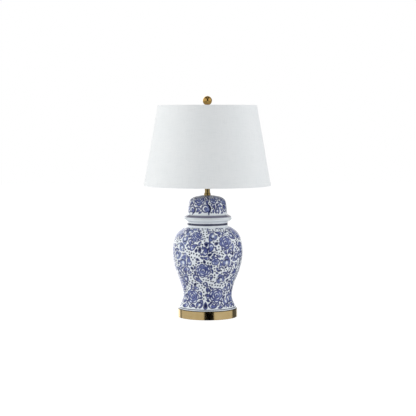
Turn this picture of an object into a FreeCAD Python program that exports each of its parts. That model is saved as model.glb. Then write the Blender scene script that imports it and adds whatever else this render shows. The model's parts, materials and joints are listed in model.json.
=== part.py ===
import FreeCAD, Part
import math
import os

from FreeCAD import Vector

os.makedirs("parts", exist_ok=True)

# A ginger jar table lamp. Millimetres, +Z up. The origin is the centre of the underside of the base,
# the lamp stands on Z = 0, its front faces -Y and its harp stands in the XZ plane.

# ---------------------------------------------------------------- driving dimensions

# Clearances, all measured on the radius or across the gap
thread_clearance = 0.05
running_clearance = 0.10
slip_clearance = 0.25
loose_clearance = 0.50
moving_gap = 0.30
glue_gap = 0.05

# Roundings of metal and moulded edges
fine_round = 0.2
small_round = 0.5

# Lamp pipe
pipe_radius = 5.15
pipe_bore_radius = 3.5
pipe_past_nut = 1.5
pipe_into_cap = 6.0

# Base
base_radius = 101.6
base_height = 28.5
base_wall = 1.2
base_edge_round = 1.2
pad_thickness = 1.5
pad_stand_proud = 0.5
board_thickness = 2.0
cord_room = 15.8
ballast_wall_gap = 22.0
ballast_edge_round = 1.5
washer_radius = 17.0
washer_thickness = 1.6
lock_washer_radius = 10.0
lock_washer_thickness = 1.0
lock_washer_teeth = 12
lock_washer_notch_width = 1.4
lock_washer_notch_depth = 1.6
nut_across_flats = 16.0
nut_thickness = 5.5
nut_chamfer = 0.8

# Cord bushing in the rear wall of the base
bushing_bore_radius = 4.2
bushing_body_radius = 6.0
bushing_flange_radius = 8.0
bushing_flange_thickness = 2.0
bushing_inner_length = 6.0

# Jar. The belly and the root of the neck are measured down from its top, and the foot, the root and
# the lip across from the base and from the neck.
foot_gasket_thickness = 1.0
gasket_inset = 1.0
jar_height = 306.0
jar_foot_inset = 2.9
jar_foot_band = 1.8
jar_foot_lean = 0.45
jar_foot_ring_width = 12.0
jar_foot_recess = 5.0
jar_floor = 6.0
jar_wall = 5.0
jar_waist_inset = 15.0
jar_waist_height = 42.9
jar_belly_radius = 120.2
jar_belly_drop = 113.6
jar_root_flare = 7.5
jar_root_drop = 29.4
jar_root_slope = 0.41
jar_root_round = 6.0
jar_neck_radius = 69.5
jar_neck_wall = 7.0
jar_lip_flare = 13.2
jar_lip_height = 14.5
jar_lip_band = 2.6
jar_pipe_hole_gap = 2.35
glaze_edge_round = 1.4

# Lid
lid_gasket_thickness = 0.8
lid_height = 76.9
lid_wall = 4.5
lid_crown_radius = 14.0
lid_flange_inset = 0.7
lid_flange_band = 2.4
lid_side_inset = 14.9
lid_side_height = 18.1
lid_shoulder_inset = 5.9
lid_shoulder_drop = 18.0
lid_skirt_depth = 12.0
lid_skirt_wall = 5.0
lid_skirt_clearance = 1.0

# Neck
collar_radius = 11.5
collar_top_radius = 9.9
collar_height = 9.2
collar_band = 5.6
collar_shoulder_round = 1.0
collar_shoulder_rise = 1.2
collar_spigot_height = 3.0
neck_tube_radius = 9.0
neck_tube_wall = 1.0
neck_tube_length = 27.1

# Harp and its saddle
saddle_thickness = 1.5
saddle_disc_radius = 11.0
saddle_arm_width = 6.0
saddle_arm_height = 15.0
saddle_arm_x = 28.5
saddle_bend_round = 2.5
harp_height = 254.0
harp_wire_radius = 2.0
harp_half_width = 56.0
harp_bend_radius = 70.0
sleeve_wall = 0.9
sleeve_length = 16.0
sleeve_travel = 12.0
sleeve_foot_height = 2.4
sleeve_foot_proud = 0.6
harp_block_radius = 6.5
harp_block_height = 8.0
harp_stud_radius = 3.175

# Socket
socket_hub_radius = 8.0
socket_hub_height = 7.0
socket_cap_height = 22.0
socket_cap_wall = 0.8
socket_flare_start = 5.5
socket_flare_end = 15.5
socket_flare_round = 3.0
socket_bead_height = 0.9
socket_bead_proud = 0.5
socket_shell_wall = 0.5
socket_shell_height = 50.0
socket_overlap = 5.0
socket_lining_wall = 0.7
socket_lining_gap = 0.1
socket_core_rim = 0.2
socket_core_gap = 0.7
socket_core_height = 24.0
socket_core_lift = 2.0
socket_pocket_depth = 3.5
socket_pocket_height = 12.0
set_screw_radius = 1.5
set_screw_length = 4.0
set_screw_head_radius = 2.6
set_screw_head_thickness = 1.6
screw_slot_width = 0.8
screw_slot_depth = 0.7
terminal_head_radius = 3.4
terminal_head_thickness = 2.2
terminal_shank_radius = 1.7
terminal_shank_length = 5.0

# Edison thread: crest radius on the bulb, depth and pitch
bulb_thread_radius = 13.1
thread_depth = 0.8
thread_pitch = 3.63
screw_shell_height = 20.0
screw_shell_wall = 0.4
contact_width = 6.0
contact_thickness = 0.6
contact_rise = 3.0
contact_arch_half = 2.3
contact_ramp_run = 1.5
contact_foot_length = 3.0

# Switch
switch_stem_radius = 2.4
switch_stem_inner = 7.0
switch_height_in_core = 12.0
switch_hole_radius = 4.0
knob_radius = 6.2
knob_length = 13.0
knob_gap = 6.0
knob_face_wall = 3.0
knob_skirt_height = 3.0
knob_taper = 0.4
knob_flutes = 16
knob_flute_radius = 0.7

# Bulb
bulb_length = 108.0
bulb_globe_flare = 3.0
bulb_globe_radius = 30.0
bulb_globe_wall = 1.0
bulb_tip_radius = 4.8
bulb_tip_height = 1.0
bulb_insulator_height = 2.4
bulb_cap_height = 21.0
bulb_cap_wall = 0.5
bulb_plain_collar = 3.0
bulb_housing_height = 38.0
bulb_housing_step = 1.5
bulb_housing_lap = 1.1
bulb_board_inset = 7.0
bulb_board_thickness = 1.6

# Shade
shade_bottom_radius = 215.9
shade_top_radius = 168.0
shade_height = 271.2
shade_fabric_thickness = 0.6
shade_liner_thickness = 0.5
shade_fitter_drop = 12.7
shade_wire_radius = 1.6
hem_thickness = 0.5
hem_depth = 10.0
spider_washer_radius = 14.0
spider_washer_thickness = 2.0
spider_spokes = 3
spoke_radius = 1.5
spoke_bend_radius = 8.0
spoke_rise_angle = 45.0
spoke_overlap = 3.2

# Finial
finial_ball_radius = 15.875
finial_height = 42.3
finial_foot_radius = 9.0
finial_foot_height = 2.0
finial_waist_radius = 5.6
finial_seat_radius = 7.6
finial_ledge = 1.2
finial_spigot_radius = 2.4
finial_spigot_height = 6.0
finial_roof = 2.0

# ---------------------------------------------------------------- sizes that follow

# Radii of the jar and the lid
jar_foot_radius = base_radius - jar_foot_inset
jar_waist_radius = jar_foot_radius - jar_waist_inset
jar_root_radius = jar_neck_radius + jar_root_flare
jar_lip_radius = jar_neck_radius + jar_lip_flare
jar_mouth_radius = jar_neck_radius - jar_neck_wall
jar_pipe_hole_radius = pipe_radius + jar_pipe_hole_gap
lid_flange_radius = jar_lip_radius - lid_flange_inset
lid_side_radius = lid_flange_radius - lid_side_inset
lid_shoulder_radius = lid_side_radius - lid_shoulder_inset

# Radii of the socket, from the bulb's thread outward, and of the bulb
screw_shell_radius = bulb_thread_radius + moving_gap + screw_shell_wall
socket_core_radius = screw_shell_radius + socket_core_rim
lining_inner_radius = socket_core_radius + socket_core_gap
lining_outer_radius = lining_inner_radius + socket_lining_wall
shell_inner_radius = lining_outer_radius + socket_lining_gap
socket_shell_radius = shell_inner_radius + socket_shell_wall
cap_outer_radius = socket_shell_radius + running_clearance + socket_cap_wall
bulb_cap_inner_radius = bulb_thread_radius - thread_depth - bulb_cap_wall
bulb_housing_neck_radius = bulb_thread_radius + bulb_housing_lap
bulb_housing_top_radius = bulb_globe_radius - bulb_globe_flare
bulb_board_radius = bulb_housing_top_radius - bulb_board_inset

# Heights of the stack
base_top = base_height
jar_bottom = base_top + foot_gasket_thickness
jar_top = jar_bottom + jar_height
lid_bottom = jar_top + lid_gasket_thickness
lid_top = lid_bottom + lid_height
collar_top = lid_top + collar_height
saddle_bottom = collar_top + neck_tube_length
saddle_top = saddle_bottom + saddle_thickness
shade_seat = saddle_top + harp_height
finial_bottom = shade_seat + spider_washer_thickness
lamp_height = finial_bottom + finial_height
ball_z = lamp_height - finial_ball_radius
ball_seat_z = ball_z - math.sqrt(finial_ball_radius**2 - finial_seat_radius**2)
stud_top = ball_seat_z - finial_roof - moving_gap

board_bottom = pad_thickness
board_top = board_bottom + board_thickness
drum_underside = base_top - base_wall
ballast_bottom = board_top + cord_room
washer_bottom = ballast_bottom - washer_thickness
lock_washer_bottom = washer_bottom - lock_washer_thickness
nut_bottom = lock_washer_bottom - nut_thickness
pipe_bottom = nut_bottom - pipe_past_nut
pipe_top = saddle_top + pipe_into_cap

shade_top = shade_seat + shade_fitter_drop
shade_bottom = shade_top - shade_height

# ---------------------------------------------------------------- helpers

UP = Vector(0, 0, 1)
PAST = 1.0  # how far a cutting tool runs past the face that it opens
SAME_POINT = 1e-6  # ends of curves nearer than this are one point
CORNER_SHARE = 0.48  # the most of a straight side that the rounding of one of its ends takes
CURVE_STEPS = 33  # points read off an outer curve to draw the inner one
WAVE_STEPS = 4  # points drawn on each wave of a thread


def save(name, solid):
    """Write one node, a group of solids where the node is more than one piece."""
    solid.exportStep("parts/" + name + ".step")


def at(radius, height):
    """A point of an outline, in the XZ plane."""
    return Vector(radius, 0, height)


def cylinder(radius, bottom, height):
    return Part.makeCylinder(radius, height, Vector(0, 0, bottom))


def tube(outer_radius, inner_radius, bottom, height):
    bore = cylinder(inner_radius, bottom - PAST, height + 2 * PAST)
    return cylinder(outer_radius, bottom, height).cut(bore)


def smooth(points, start=None, end=None):
    """A smooth curve through the points, with the direction at each end where one is given."""
    curve = Part.BSplineCurve()
    if start is None:
        curve.interpolate(Points=points)
    else:
        curve.interpolate(Points=points, InitialTangent=start, FinalTangent=end)
    return curve


def between(start, end, shares):
    """Points on the way from one point to another, each a share of the radius and a share of the climb."""
    across = end.x - start.x
    up = end.z - start.z
    return [at(start.x + share_x * across, start.z + share_z * up) for share_x, share_z in shares]


def rounded_corner(before, corner, after, radius):
    """The arc that rounds a corner, no larger than its two sides allow."""
    back = (before - corner).normalize()
    ahead = (after - corner).normalize()
    half_angle = back.getAngle(ahead) / 2
    room = CORNER_SHARE * min((before - corner).Length, (after - corner).Length)
    reach = min(radius / math.tan(half_angle), room)
    radius = reach * math.tan(half_angle)
    inward = (back + ahead).normalize()
    middle = corner + inward * (radius / math.sin(half_angle) - radius)
    return Part.Arc(corner + back * reach, middle, corner + ahead * reach)


def closed_face(items):
    """The face inside an outline of points and curves, joined in order by straight lines."""
    edges = []
    first = None
    last = None
    for item in items:
        if isinstance(item, Vector):
            start = item
            end = item
        else:
            edge = item.toShape()
            start = edge.valueAt(edge.FirstParameter)
            end = edge.valueAt(edge.LastParameter)
        if first is None:
            first = start
        elif last.distanceToPoint(start) > SAME_POINT:
            edges.append(Part.LineSegment(last, start).toShape())
        if not isinstance(item, Vector):
            edges.append(edge)
        last = end
    if last.distanceToPoint(first) > SAME_POINT:
        edges.append(Part.LineSegment(last, first).toShape())
    return Part.Face(Part.Wire(edges))


def with_rounds(corners):
    """An outline's items from corners of (radius, height) or (radius, height, rounding)."""
    points = [at(corner[0], corner[1]) for corner in corners]
    items = []
    for number, corner in enumerate(corners):
        if len(corner) == 2:
            items.append(points[number])
        else:
            before = points[number - 1]
            after = points[(number + 1) % len(points)]
            items.append(rounded_corner(before, points[number], after, corner[2]))
    return items


def spin(items):
    """The solid that an outline in the XZ plane sweeps about the Z axis."""
    return closed_face(items).revolve(Vector(0, 0, 0), UP, 360)


def turned(corners):
    return spin(with_rounds(corners))


def inside_points(curve, wall, keep):
    """Points one wall inside a curve that climbs with the solid on its inner side, where keep allows."""
    points = []
    for on_curve in curve.discretize(Number=CURVE_STEPS):
        direction = curve.tangent(curve.parameter(on_curve))[0]
        point = on_curve + Vector(-direction.z, 0, direction.x) * wall
        if keep(point):
            points.append(point)
    return points


def bar_along_y(radius, x, z, start_y, end_y):
    """A round bar parallel to the Y axis."""
    return Part.makeCylinder(radius, end_y - start_y, Vector(x, start_y, z), Vector(0, 1, 0))


def swept(path_edges, radius):
    """A round wire along a path of straight runs and tangent arcs."""
    path = Part.Wire([edge.toShape() for edge in path_edges])
    start = path_edges[0].value(path_edges[0].FirstParameter)
    direction = path_edges[0].tangent(path_edges[0].FirstParameter)[0]
    section = Part.Wire(Part.Circle(start, direction, radius).toShape())
    return path.makePipeShell([section], True, True)


# ---------------------------------------------------------------- base

drum_inner_radius = base_radius - base_wall
bushing_z = (board_top + drum_underside) / 2


def make_drum():
    """The spun shell: a level top and a straight side, open below, with the cord's hole at the back."""
    drum = turned(
        [
            (pipe_radius + slip_clearance, base_top),
            (base_radius, base_top, base_edge_round),
            (base_radius, pad_stand_proud),
            (drum_inner_radius, pad_stand_proud),
            (drum_inner_radius, drum_underside, small_round),
            (pipe_radius + slip_clearance, drum_underside),
        ]
    )
    wall_hole = bar_along_y(bushing_body_radius + running_clearance, 0, bushing_z, 0, base_radius + PAST)
    save("base_drum", drum.cut(wall_hole))


def make_base_closure():
    save("felt_pad", cylinder(drum_inner_radius - slip_clearance, 0, pad_thickness))
    save("bottom_board", cylinder(drum_inner_radius - running_clearance, board_bottom, board_thickness))


def make_ballast():
    ballast_radius = base_radius - ballast_wall_gap
    hole_radius = pipe_radius + loose_clearance
    ballast = turned(
        [
            (hole_radius, drum_underside),
            (ballast_radius, drum_underside, ballast_edge_round),
            (ballast_radius, ballast_bottom, ballast_edge_round),
            (hole_radius, ballast_bottom),
        ]
    )
    save("base_ballast", ballast)


def make_washers():
    hole_radius = pipe_radius + slip_clearance
    save("base_washer", tube(washer_radius, hole_radius, washer_bottom, washer_thickness))
    lock_washer = tube(lock_washer_radius, hole_radius, lock_washer_bottom, lock_washer_thickness)
    notch = Part.makeBox(
        lock_washer_notch_depth + PAST, lock_washer_notch_width, lock_washer_thickness + 2 * PAST
    )
    notch_x = lock_washer_radius - lock_washer_notch_depth
    notch.translate(Vector(notch_x, -lock_washer_notch_width / 2, lock_washer_bottom - PAST))
    for tooth in range(lock_washer_teeth):
        turned_notch = notch.copy()
        turned_notch.rotate(Vector(0, 0, 0), UP, 360 * tooth / lock_washer_teeth)
        lock_washer = lock_washer.cut(turned_notch)
    save("base_lock_washer", lock_washer)


def make_nut():
    """The hexagon nut that clamps base, jar, lid and neck together, chamfered on both faces."""
    flat_radius = nut_across_flats / 2
    corner_radius = flat_radius / math.cos(math.pi / 6)
    nut_top = nut_bottom + nut_thickness
    hexagon = []
    for corner in range(7):
        angle = corner * math.pi / 3
        hexagon.append(Vector(corner_radius * math.cos(angle), corner_radius * math.sin(angle), nut_bottom))
    nut = Part.Face(Part.makePolygon(hexagon)).extrude(Vector(0, 0, nut_thickness))
    chamfered = turned(
        [
            (0, nut_bottom),
            (flat_radius, nut_bottom),
            (corner_radius, nut_bottom + nut_chamfer),
            (corner_radius, nut_top - nut_chamfer),
            (flat_radius, nut_top),
            (0, nut_top),
        ]
    )
    bore = cylinder(pipe_radius + thread_clearance, nut_bottom - PAST, nut_thickness + 2 * PAST)
    save("base_nut", nut.common(chamfered).cut(bore))


def make_bushing():
    inner_end = drum_inner_radius - bushing_inner_length
    outer_end = base_radius + bushing_flange_thickness
    flange = bar_along_y(bushing_flange_radius, 0, bushing_z, base_radius, outer_end)
    body = bar_along_y(bushing_body_radius, 0, bushing_z, inner_end, base_radius + PAST)
    bore = bar_along_y(bushing_bore_radius, 0, bushing_z, inner_end - PAST, outer_end + PAST)
    save("cord_bushing", flange.fuse(body).removeSplitter().cut(bore))


# ---------------------------------------------------------------- jar

# Shares of the radius and of the climb, on the way from one ring of the jar to the next
foot_to_waist = [(0.30, 0.18), (0.51, 0.34), (0.74, 0.55), (0.93, 0.76)]
waist_to_belly = [(0.05, 0.115), (0.19, 0.255), (0.355, 0.365), (0.635, 0.533), (0.80, 0.655), (0.93, 0.80)]
belly_to_root = [(0.046, 0.283), (0.176, 0.565), (0.338, 0.727), (0.52, 0.832), (0.70, 0.908), (0.86, 0.962)]
neck_to_lip = [(0.08, 0.24), (0.477, 0.52), (0.87, 0.807)]


def make_jar():
    foot = at(jar_foot_radius, jar_bottom + jar_foot_band)
    waist = at(jar_waist_radius, jar_bottom + jar_waist_height)
    belly = at(jar_belly_radius, jar_top - jar_belly_drop)
    root = at(jar_root_radius, jar_top - jar_root_drop)
    neck_corner = at(jar_neck_radius, root.z + jar_root_slope * (root.x - jar_neck_radius))
    neck_top = at(jar_neck_radius, jar_top - jar_lip_height)
    lip = at(jar_lip_radius, jar_top - jar_lip_band)
    body_points = (
        [foot]
        + between(foot, waist, foot_to_waist)
        + [waist]
        + between(waist, belly, waist_to_belly)
        + [belly]
        + between(belly, root, belly_to_root)
        + [root]
    )
    body = smooth(body_points, Vector(-jar_foot_lean, 0, 1), Vector(-1, 0, jar_root_slope))
    lip_curve = smooth([neck_top] + between(neck_top, lip, neck_to_lip) + [lip], UP, UP)

    floor_top = jar_bottom + jar_foot_recess + jar_floor
    shoulder_room = jar_mouth_radius + 2 * jar_wall
    inner_points = inside_points(
        body, jar_wall, lambda point: point.z > floor_top + jar_wall and point.x > shoulder_room
    )
    inner = smooth(inner_points)
    first_inner = inner_points[0]
    last_inner = inner_points[-1]
    inner.reverse()

    foot_inner_radius = jar_foot_radius - jar_foot_ring_width
    foot_inner = at(foot_inner_radius, jar_bottom)
    foot_corner = at(jar_foot_radius, jar_bottom)
    lip_corner = at(jar_lip_radius, jar_top)
    mouth_corner = at(jar_mouth_radius, jar_top)
    mouth_bottom = at(jar_mouth_radius, last_inner.z + 0.5 * jar_wall)
    floor_corner = at(first_inner.x, floor_top)
    floor_hole = at(jar_pipe_hole_radius, floor_top)
    outline = [
        rounded_corner(foot_inner, foot_corner, foot, glaze_edge_round),
        body,
        rounded_corner(root, neck_corner, neck_top, jar_root_round),
        lip_curve,
        rounded_corner(lip, lip_corner, mouth_corner, glaze_edge_round),
        rounded_corner(lip_corner, mouth_corner, mouth_bottom, glaze_edge_round),
        mouth_bottom,
        inner,
        rounded_corner(first_inner, floor_corner, floor_hole, jar_wall),
        floor_hole,
        at(jar_pipe_hole_radius, jar_bottom + jar_foot_recess),
        at(foot_inner_radius, jar_bottom + jar_foot_recess),
        foot_inner,
    ]
    save("jar_body", spin(outline))


def make_gaskets():
    foot_outer = jar_foot_radius - glaze_edge_round
    foot_inner = jar_foot_radius - jar_foot_ring_width + gasket_inset
    save("foot_gasket", tube(foot_outer, foot_inner, base_top, foot_gasket_thickness))
    lip_outer = jar_lip_radius - glaze_edge_round - gasket_inset
    lip_inner = jar_mouth_radius + glaze_edge_round
    save("lid_gasket", tube(lip_outer, lip_inner, jar_top, lid_gasket_thickness))


# ---------------------------------------------------------------- lid

crown_to_shoulder = [(0.29, 0.09), (0.60, 0.24), (0.77, 0.43), (0.885, 0.63), (0.957, 0.82)]
shoulder_to_side = [(0.34, 0.17), (0.576, 0.333), (0.763, 0.583), (0.88, 0.833)]
side_to_flange = [(0.05, 0.22), (0.28, 0.44), (0.67, 0.66), (0.93, 0.85)]


def make_lid():
    crown = at(lid_crown_radius, lid_top)
    shoulder = at(lid_shoulder_radius, lid_top - lid_shoulder_drop)
    side = at(lid_side_radius, lid_bottom + lid_side_height)
    flange = at(lid_flange_radius, lid_bottom + lid_flange_band)
    flange_points = [side] + between(side, flange, side_to_flange) + [flange]
    flange_curve = smooth(flange_points[::-1], UP, UP)
    dome_points = (
        [crown]
        + between(crown, shoulder, crown_to_shoulder)
        + [shoulder]
        + between(shoulder, side, shoulder_to_side)
        + [side]
    )
    dome = smooth(dome_points[::-1], UP, Vector(-1, 0, 0))

    hole_radius = pipe_radius + slip_clearance
    skirt_outer = jar_mouth_radius - lid_skirt_clearance
    skirt_inner = skirt_outer - lid_skirt_wall
    inner = smooth(inside_points(dome, lid_wall, lambda point: point.z > side.z))
    inner.reverse()
    skirt_bottom = lid_bottom - lid_skirt_depth
    skirt_top_inner = at(skirt_inner, lid_bottom + lid_skirt_wall)
    skirt_inner_corner = at(skirt_inner, skirt_bottom)
    skirt_outer_corner = at(skirt_outer, skirt_bottom)
    skirt_root = at(skirt_outer, lid_bottom)
    flange_corner = at(lid_flange_radius, lid_bottom)
    outline = [
        rounded_corner(skirt_root, flange_corner, flange, glaze_edge_round),
        flange_curve,
        dome,
        at(hole_radius, lid_top),
        at(hole_radius, lid_top - lid_wall),
        inner,
        skirt_top_inner,
        rounded_corner(skirt_top_inner, skirt_inner_corner, skirt_outer_corner, glaze_edge_round),
        rounded_corner(skirt_inner_corner, skirt_outer_corner, skirt_root, glaze_edge_round),
        skirt_root,
    ]
    save("jar_lid", spin(outline))


# ---------------------------------------------------------------- pipe and neck


def make_pipe():
    save("lamp_pipe", tube(pipe_radius, pipe_bore_radius, pipe_bottom, pipe_top - pipe_bottom))


def make_neck():
    """The collar seats on the lid, and its spigot centres the neck tube."""
    bore = pipe_radius + running_clearance
    tube_bore = neck_tube_radius - neck_tube_wall
    spigot_radius = tube_bore - running_clearance
    spigot_top = collar_top + collar_spigot_height
    band_top = lid_top + collar_band
    collar = turned(
        [
            (bore, lid_top),
            (collar_radius, lid_top, small_round),
            (collar_radius, band_top, collar_shoulder_round),
            (collar_top_radius, band_top + collar_shoulder_rise),
            (collar_top_radius, collar_top, small_round),
            (spigot_radius, collar_top),
            (spigot_radius, spigot_top, small_round),
            (bore, spigot_top),
        ]
    )
    save("neck_collar", collar)
    save("neck_tube", tube(neck_tube_radius, tube_bore, collar_top, neck_tube_length))


# ---------------------------------------------------------------- harp

harp_leg_x = saddle_arm_x + harp_wire_radius + glue_gap
harp_wire_top = shade_seat - harp_block_height / 2

# The sleeve is centred so that its bore just clears the arm's inner corners and the leg's outer side
arm_inner_x = saddle_arm_x - saddle_thickness
leg_outer_x = harp_leg_x + harp_wire_radius
sleeve_span = leg_outer_x - arm_inner_x
sleeve_reach = (sleeve_span**2 + (saddle_arm_width / 2) ** 2) / (2 * sleeve_span)
sleeve_x = leg_outer_x - sleeve_reach
sleeve_bore_radius = sleeve_reach + running_clearance


def make_saddle():
    arm_top = saddle_bottom + saddle_arm_height
    inner_round = saddle_bend_round - saddle_thickness
    strip = closed_face(
        with_rounds(
            [
                (-saddle_arm_x, saddle_bottom, saddle_bend_round),
                (saddle_arm_x, saddle_bottom, saddle_bend_round),
                (saddle_arm_x, arm_top),
                (arm_inner_x, arm_top),
                (arm_inner_x, saddle_top, inner_round),
                (-arm_inner_x, saddle_top, inner_round),
                (-arm_inner_x, arm_top),
                (-saddle_arm_x, arm_top),
            ]
        )
    ).extrude(Vector(0, saddle_arm_width, 0))
    strip.translate(Vector(0, -saddle_arm_width / 2, 0))
    disc = cylinder(saddle_disc_radius, saddle_bottom, saddle_thickness)
    hole = cylinder(pipe_radius + slip_clearance, saddle_bottom - PAST, saddle_thickness + 2 * PAST)
    save("harp_saddle", strip.fuse(disc).removeSplitter().cut(hole))


def make_harp():
    leg_bottom = saddle_top + moving_gap
    straight_top = saddle_bottom + sleeve_length + sleeve_travel + harp_wire_radius
    widening = harp_half_width - harp_leg_x
    bend = math.acos(1 - widening / 2 / harp_bend_radius)
    bend_rise = 2 * harp_bend_radius * math.sin(bend)
    crown_radius = harp_half_width - harp_block_radius

    def leg(side):
        """One leg's edges: upright, leaning out through an S, upright, then in over the crown."""

        def out_of_plumb(angle):
            """The leg's place after leaning out by an angle, counted from where the S starts."""
            across = harp_bend_radius * (1 - math.cos(angle))
            return at(side * (harp_leg_x + across), straight_top + harp_bend_radius * math.sin(angle))

        foot = at(side * harp_leg_x, leg_bottom)
        bend_start = at(side * harp_leg_x, straight_top)
        bend_end = at(side * harp_half_width, straight_top + bend_rise)
        before_middle = out_of_plumb(bend / 2)
        middle = out_of_plumb(bend)
        after_middle = bend_start + bend_end - before_middle
        crown_start = at(side * harp_half_width, harp_wire_top - crown_radius)
        crown_end = at(side * harp_block_radius, harp_wire_top)
        eighth = math.sqrt(0.5) * crown_radius
        crown_middle = at(side * (harp_block_radius + eighth), harp_wire_top - crown_radius + eighth)
        return [
            Part.LineSegment(foot, bend_start),
            Part.Arc(bend_start, before_middle, middle),
            Part.Arc(middle, after_middle, bend_end),
            Part.LineSegment(bend_end, crown_start),
            Part.Arc(crown_start, crown_middle, crown_end),
            Part.LineSegment(crown_end, at(0, harp_wire_top)),
        ]

    right = swept(leg(1), harp_wire_radius)
    left = swept(leg(-1), harp_wire_radius)
    save("harp_loop", right.fuse(left).removeSplitter())


def make_harp_post():
    """The block that the crown of the harp runs through, and the threaded stud on it."""
    block_bottom = shade_seat - harp_block_height
    post = turned(
        [
            (0, block_bottom),
            (harp_block_radius, block_bottom, small_round),
            (harp_block_radius, shade_seat, small_round),
            (harp_stud_radius, shade_seat),
            (harp_stud_radius, stud_top, small_round),
            (0, stud_top),
        ]
    )
    wire_start = Vector(-harp_block_radius - PAST, 0, harp_wire_top)
    wire_hole = Part.makeCylinder(
        harp_wire_radius + glue_gap, 2 * (harp_block_radius + PAST), wire_start, Vector(1, 0, 0)
    )
    save("harp_post", post.cut(wire_hole))


def make_sleeves():
    """The two sleeves lie over a saddle arm and a harp leg, and slide up to free the harp."""
    bottom = saddle_top + moving_gap
    outer = sleeve_bore_radius + sleeve_wall
    foot_outer = outer + sleeve_foot_proud
    foot_top = bottom + sleeve_foot_height
    sleeve = turned(
        [
            (sleeve_bore_radius, bottom),
            (foot_outer, bottom, small_round),
            (foot_outer, foot_top, small_round),
            (outer, foot_top),
            (outer, bottom + sleeve_length, small_round),
            (sleeve_bore_radius, bottom + sleeve_length),
        ]
    )
    for name, side in (("harp_sleeve_right", 1), ("harp_sleeve_left", -1)):
        placed = sleeve.copy()
        placed.translate(Vector(side * sleeve_x, 0, 0))
        save(name, placed)


# ---------------------------------------------------------------- socket and switch

shell_bottom = saddle_top + socket_cap_height - socket_overlap
shell_top = shell_bottom + socket_shell_height
core_bottom = shell_bottom + socket_core_lift
core_top = core_bottom + socket_core_height
switch_z = core_bottom + switch_height_in_core


def ring_thread(crest_radius, bottom, top):
    """A climbing wavy outline with one wave to the pitch. Bulb and socket share its phase."""
    steps = max(WAVE_STEPS, round(WAVE_STEPS * (top - bottom) / thread_pitch))
    points = []
    for step in range(steps + 1):
        z = bottom + (top - bottom) * step / steps
        wave = 0.5 - 0.5 * math.cos(2 * math.pi * (z - core_top) / thread_pitch)
        points.append(at(crest_radius - thread_depth * wave, z))
    return points


def make_socket_cap():
    """A thin cup on a threaded hub; the shell's lower end sits inside its rim."""
    hub_top = saddle_top + socket_hub_height
    cap_top = saddle_top + socket_cap_height
    flare_start = saddle_top + socket_flare_start
    flare_end = saddle_top + socket_flare_end
    inner_flare_end = flare_end + socket_cap_wall / 2
    cap_inner_radius = cap_outer_radius - socket_cap_wall
    hub_bore = pipe_radius + thread_clearance
    bead_middle = cap_top - socket_bead_height
    cap = turned(
        [
            (hub_bore, saddle_top),
            (socket_hub_radius, saddle_top, small_round),
            (socket_hub_radius, flare_start, small_round),
            (cap_outer_radius, flare_end, socket_flare_round),
            (cap_outer_radius, bead_middle - small_round, fine_round),
            (cap_outer_radius + socket_bead_proud, bead_middle, fine_round),
            (cap_outer_radius, cap_top, fine_round),
            (cap_inner_radius, cap_top),
            (cap_inner_radius, inner_flare_end, socket_flare_round - socket_cap_wall),
            (socket_hub_radius, hub_top, small_round),
            (hub_bore, hub_top),
        ]
    )
    screw_z = saddle_top + socket_hub_height / 2 - small_round
    screw_hole = bar_along_y(set_screw_radius + thread_clearance, 0, screw_z, 0, socket_hub_radius + PAST)
    save("socket_cap", cap.cut(screw_hole))

    head_start = hub_bore + set_screw_length
    head_end = head_start + set_screw_head_thickness
    shank = bar_along_y(set_screw_radius, 0, screw_z, hub_bore, head_start)
    head = bar_along_y(set_screw_head_radius, 0, screw_z, head_start, head_end)
    slot = Part.makeBox(screw_slot_width, screw_slot_depth + PAST, 2 * set_screw_head_radius)
    slot_bottom = screw_z - set_screw_head_radius
    slot.translate(Vector(-screw_slot_width / 2, head_end - screw_slot_depth, slot_bottom))
    save("cap_set_screw", shank.fuse(head).removeSplitter().cut(slot))


def make_socket_shell():
    """The brass shell and its paper lining, both with the hole for the switch stem."""
    stem_hole = bar_along_y(switch_hole_radius, 0, switch_z, -socket_shell_radius - PAST, 0)
    shell = turned(
        [
            (shell_inner_radius, shell_bottom),
            (socket_shell_radius, shell_bottom),
            (socket_shell_radius, shell_top, fine_round),
            (shell_inner_radius, shell_top),
        ]
    )
    save("socket_shell", shell.cut(stem_hole))
    lining_bottom = shell_bottom + small_round
    lining_height = socket_shell_height - 2 * small_round
    lining = tube(lining_outer_radius, lining_inner_radius, lining_bottom, lining_height)
    save("socket_lining", lining.cut(stem_hole))


def terminal_screw(side, middle_z):
    """One terminal screw, its head in the pocket on that side of the core, and the hole that it needs."""
    base = Vector(side * (socket_core_radius - socket_pocket_depth), 0, middle_z)
    outward = Vector(side, 0, 0)
    inward = Vector(-side, 0, 0)
    shank = Part.makeCylinder(terminal_shank_radius, terminal_shank_length, base, inward)
    head = Part.makeCylinder(terminal_head_radius, terminal_head_thickness, base, outward)
    slot_middle = base + outward * terminal_head_thickness
    slot = Part.makeBox(2 * screw_slot_depth, 2 * terminal_head_radius, screw_slot_width)
    slot.translate(slot_middle - Vector(screw_slot_depth, terminal_head_radius, screw_slot_width / 2))
    hole = Part.makeCylinder(
        terminal_shank_radius + thread_clearance, terminal_shank_length + thread_clearance, base, inward
    )
    return shank.fuse(head).removeSplitter().cut(slot), hole


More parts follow.
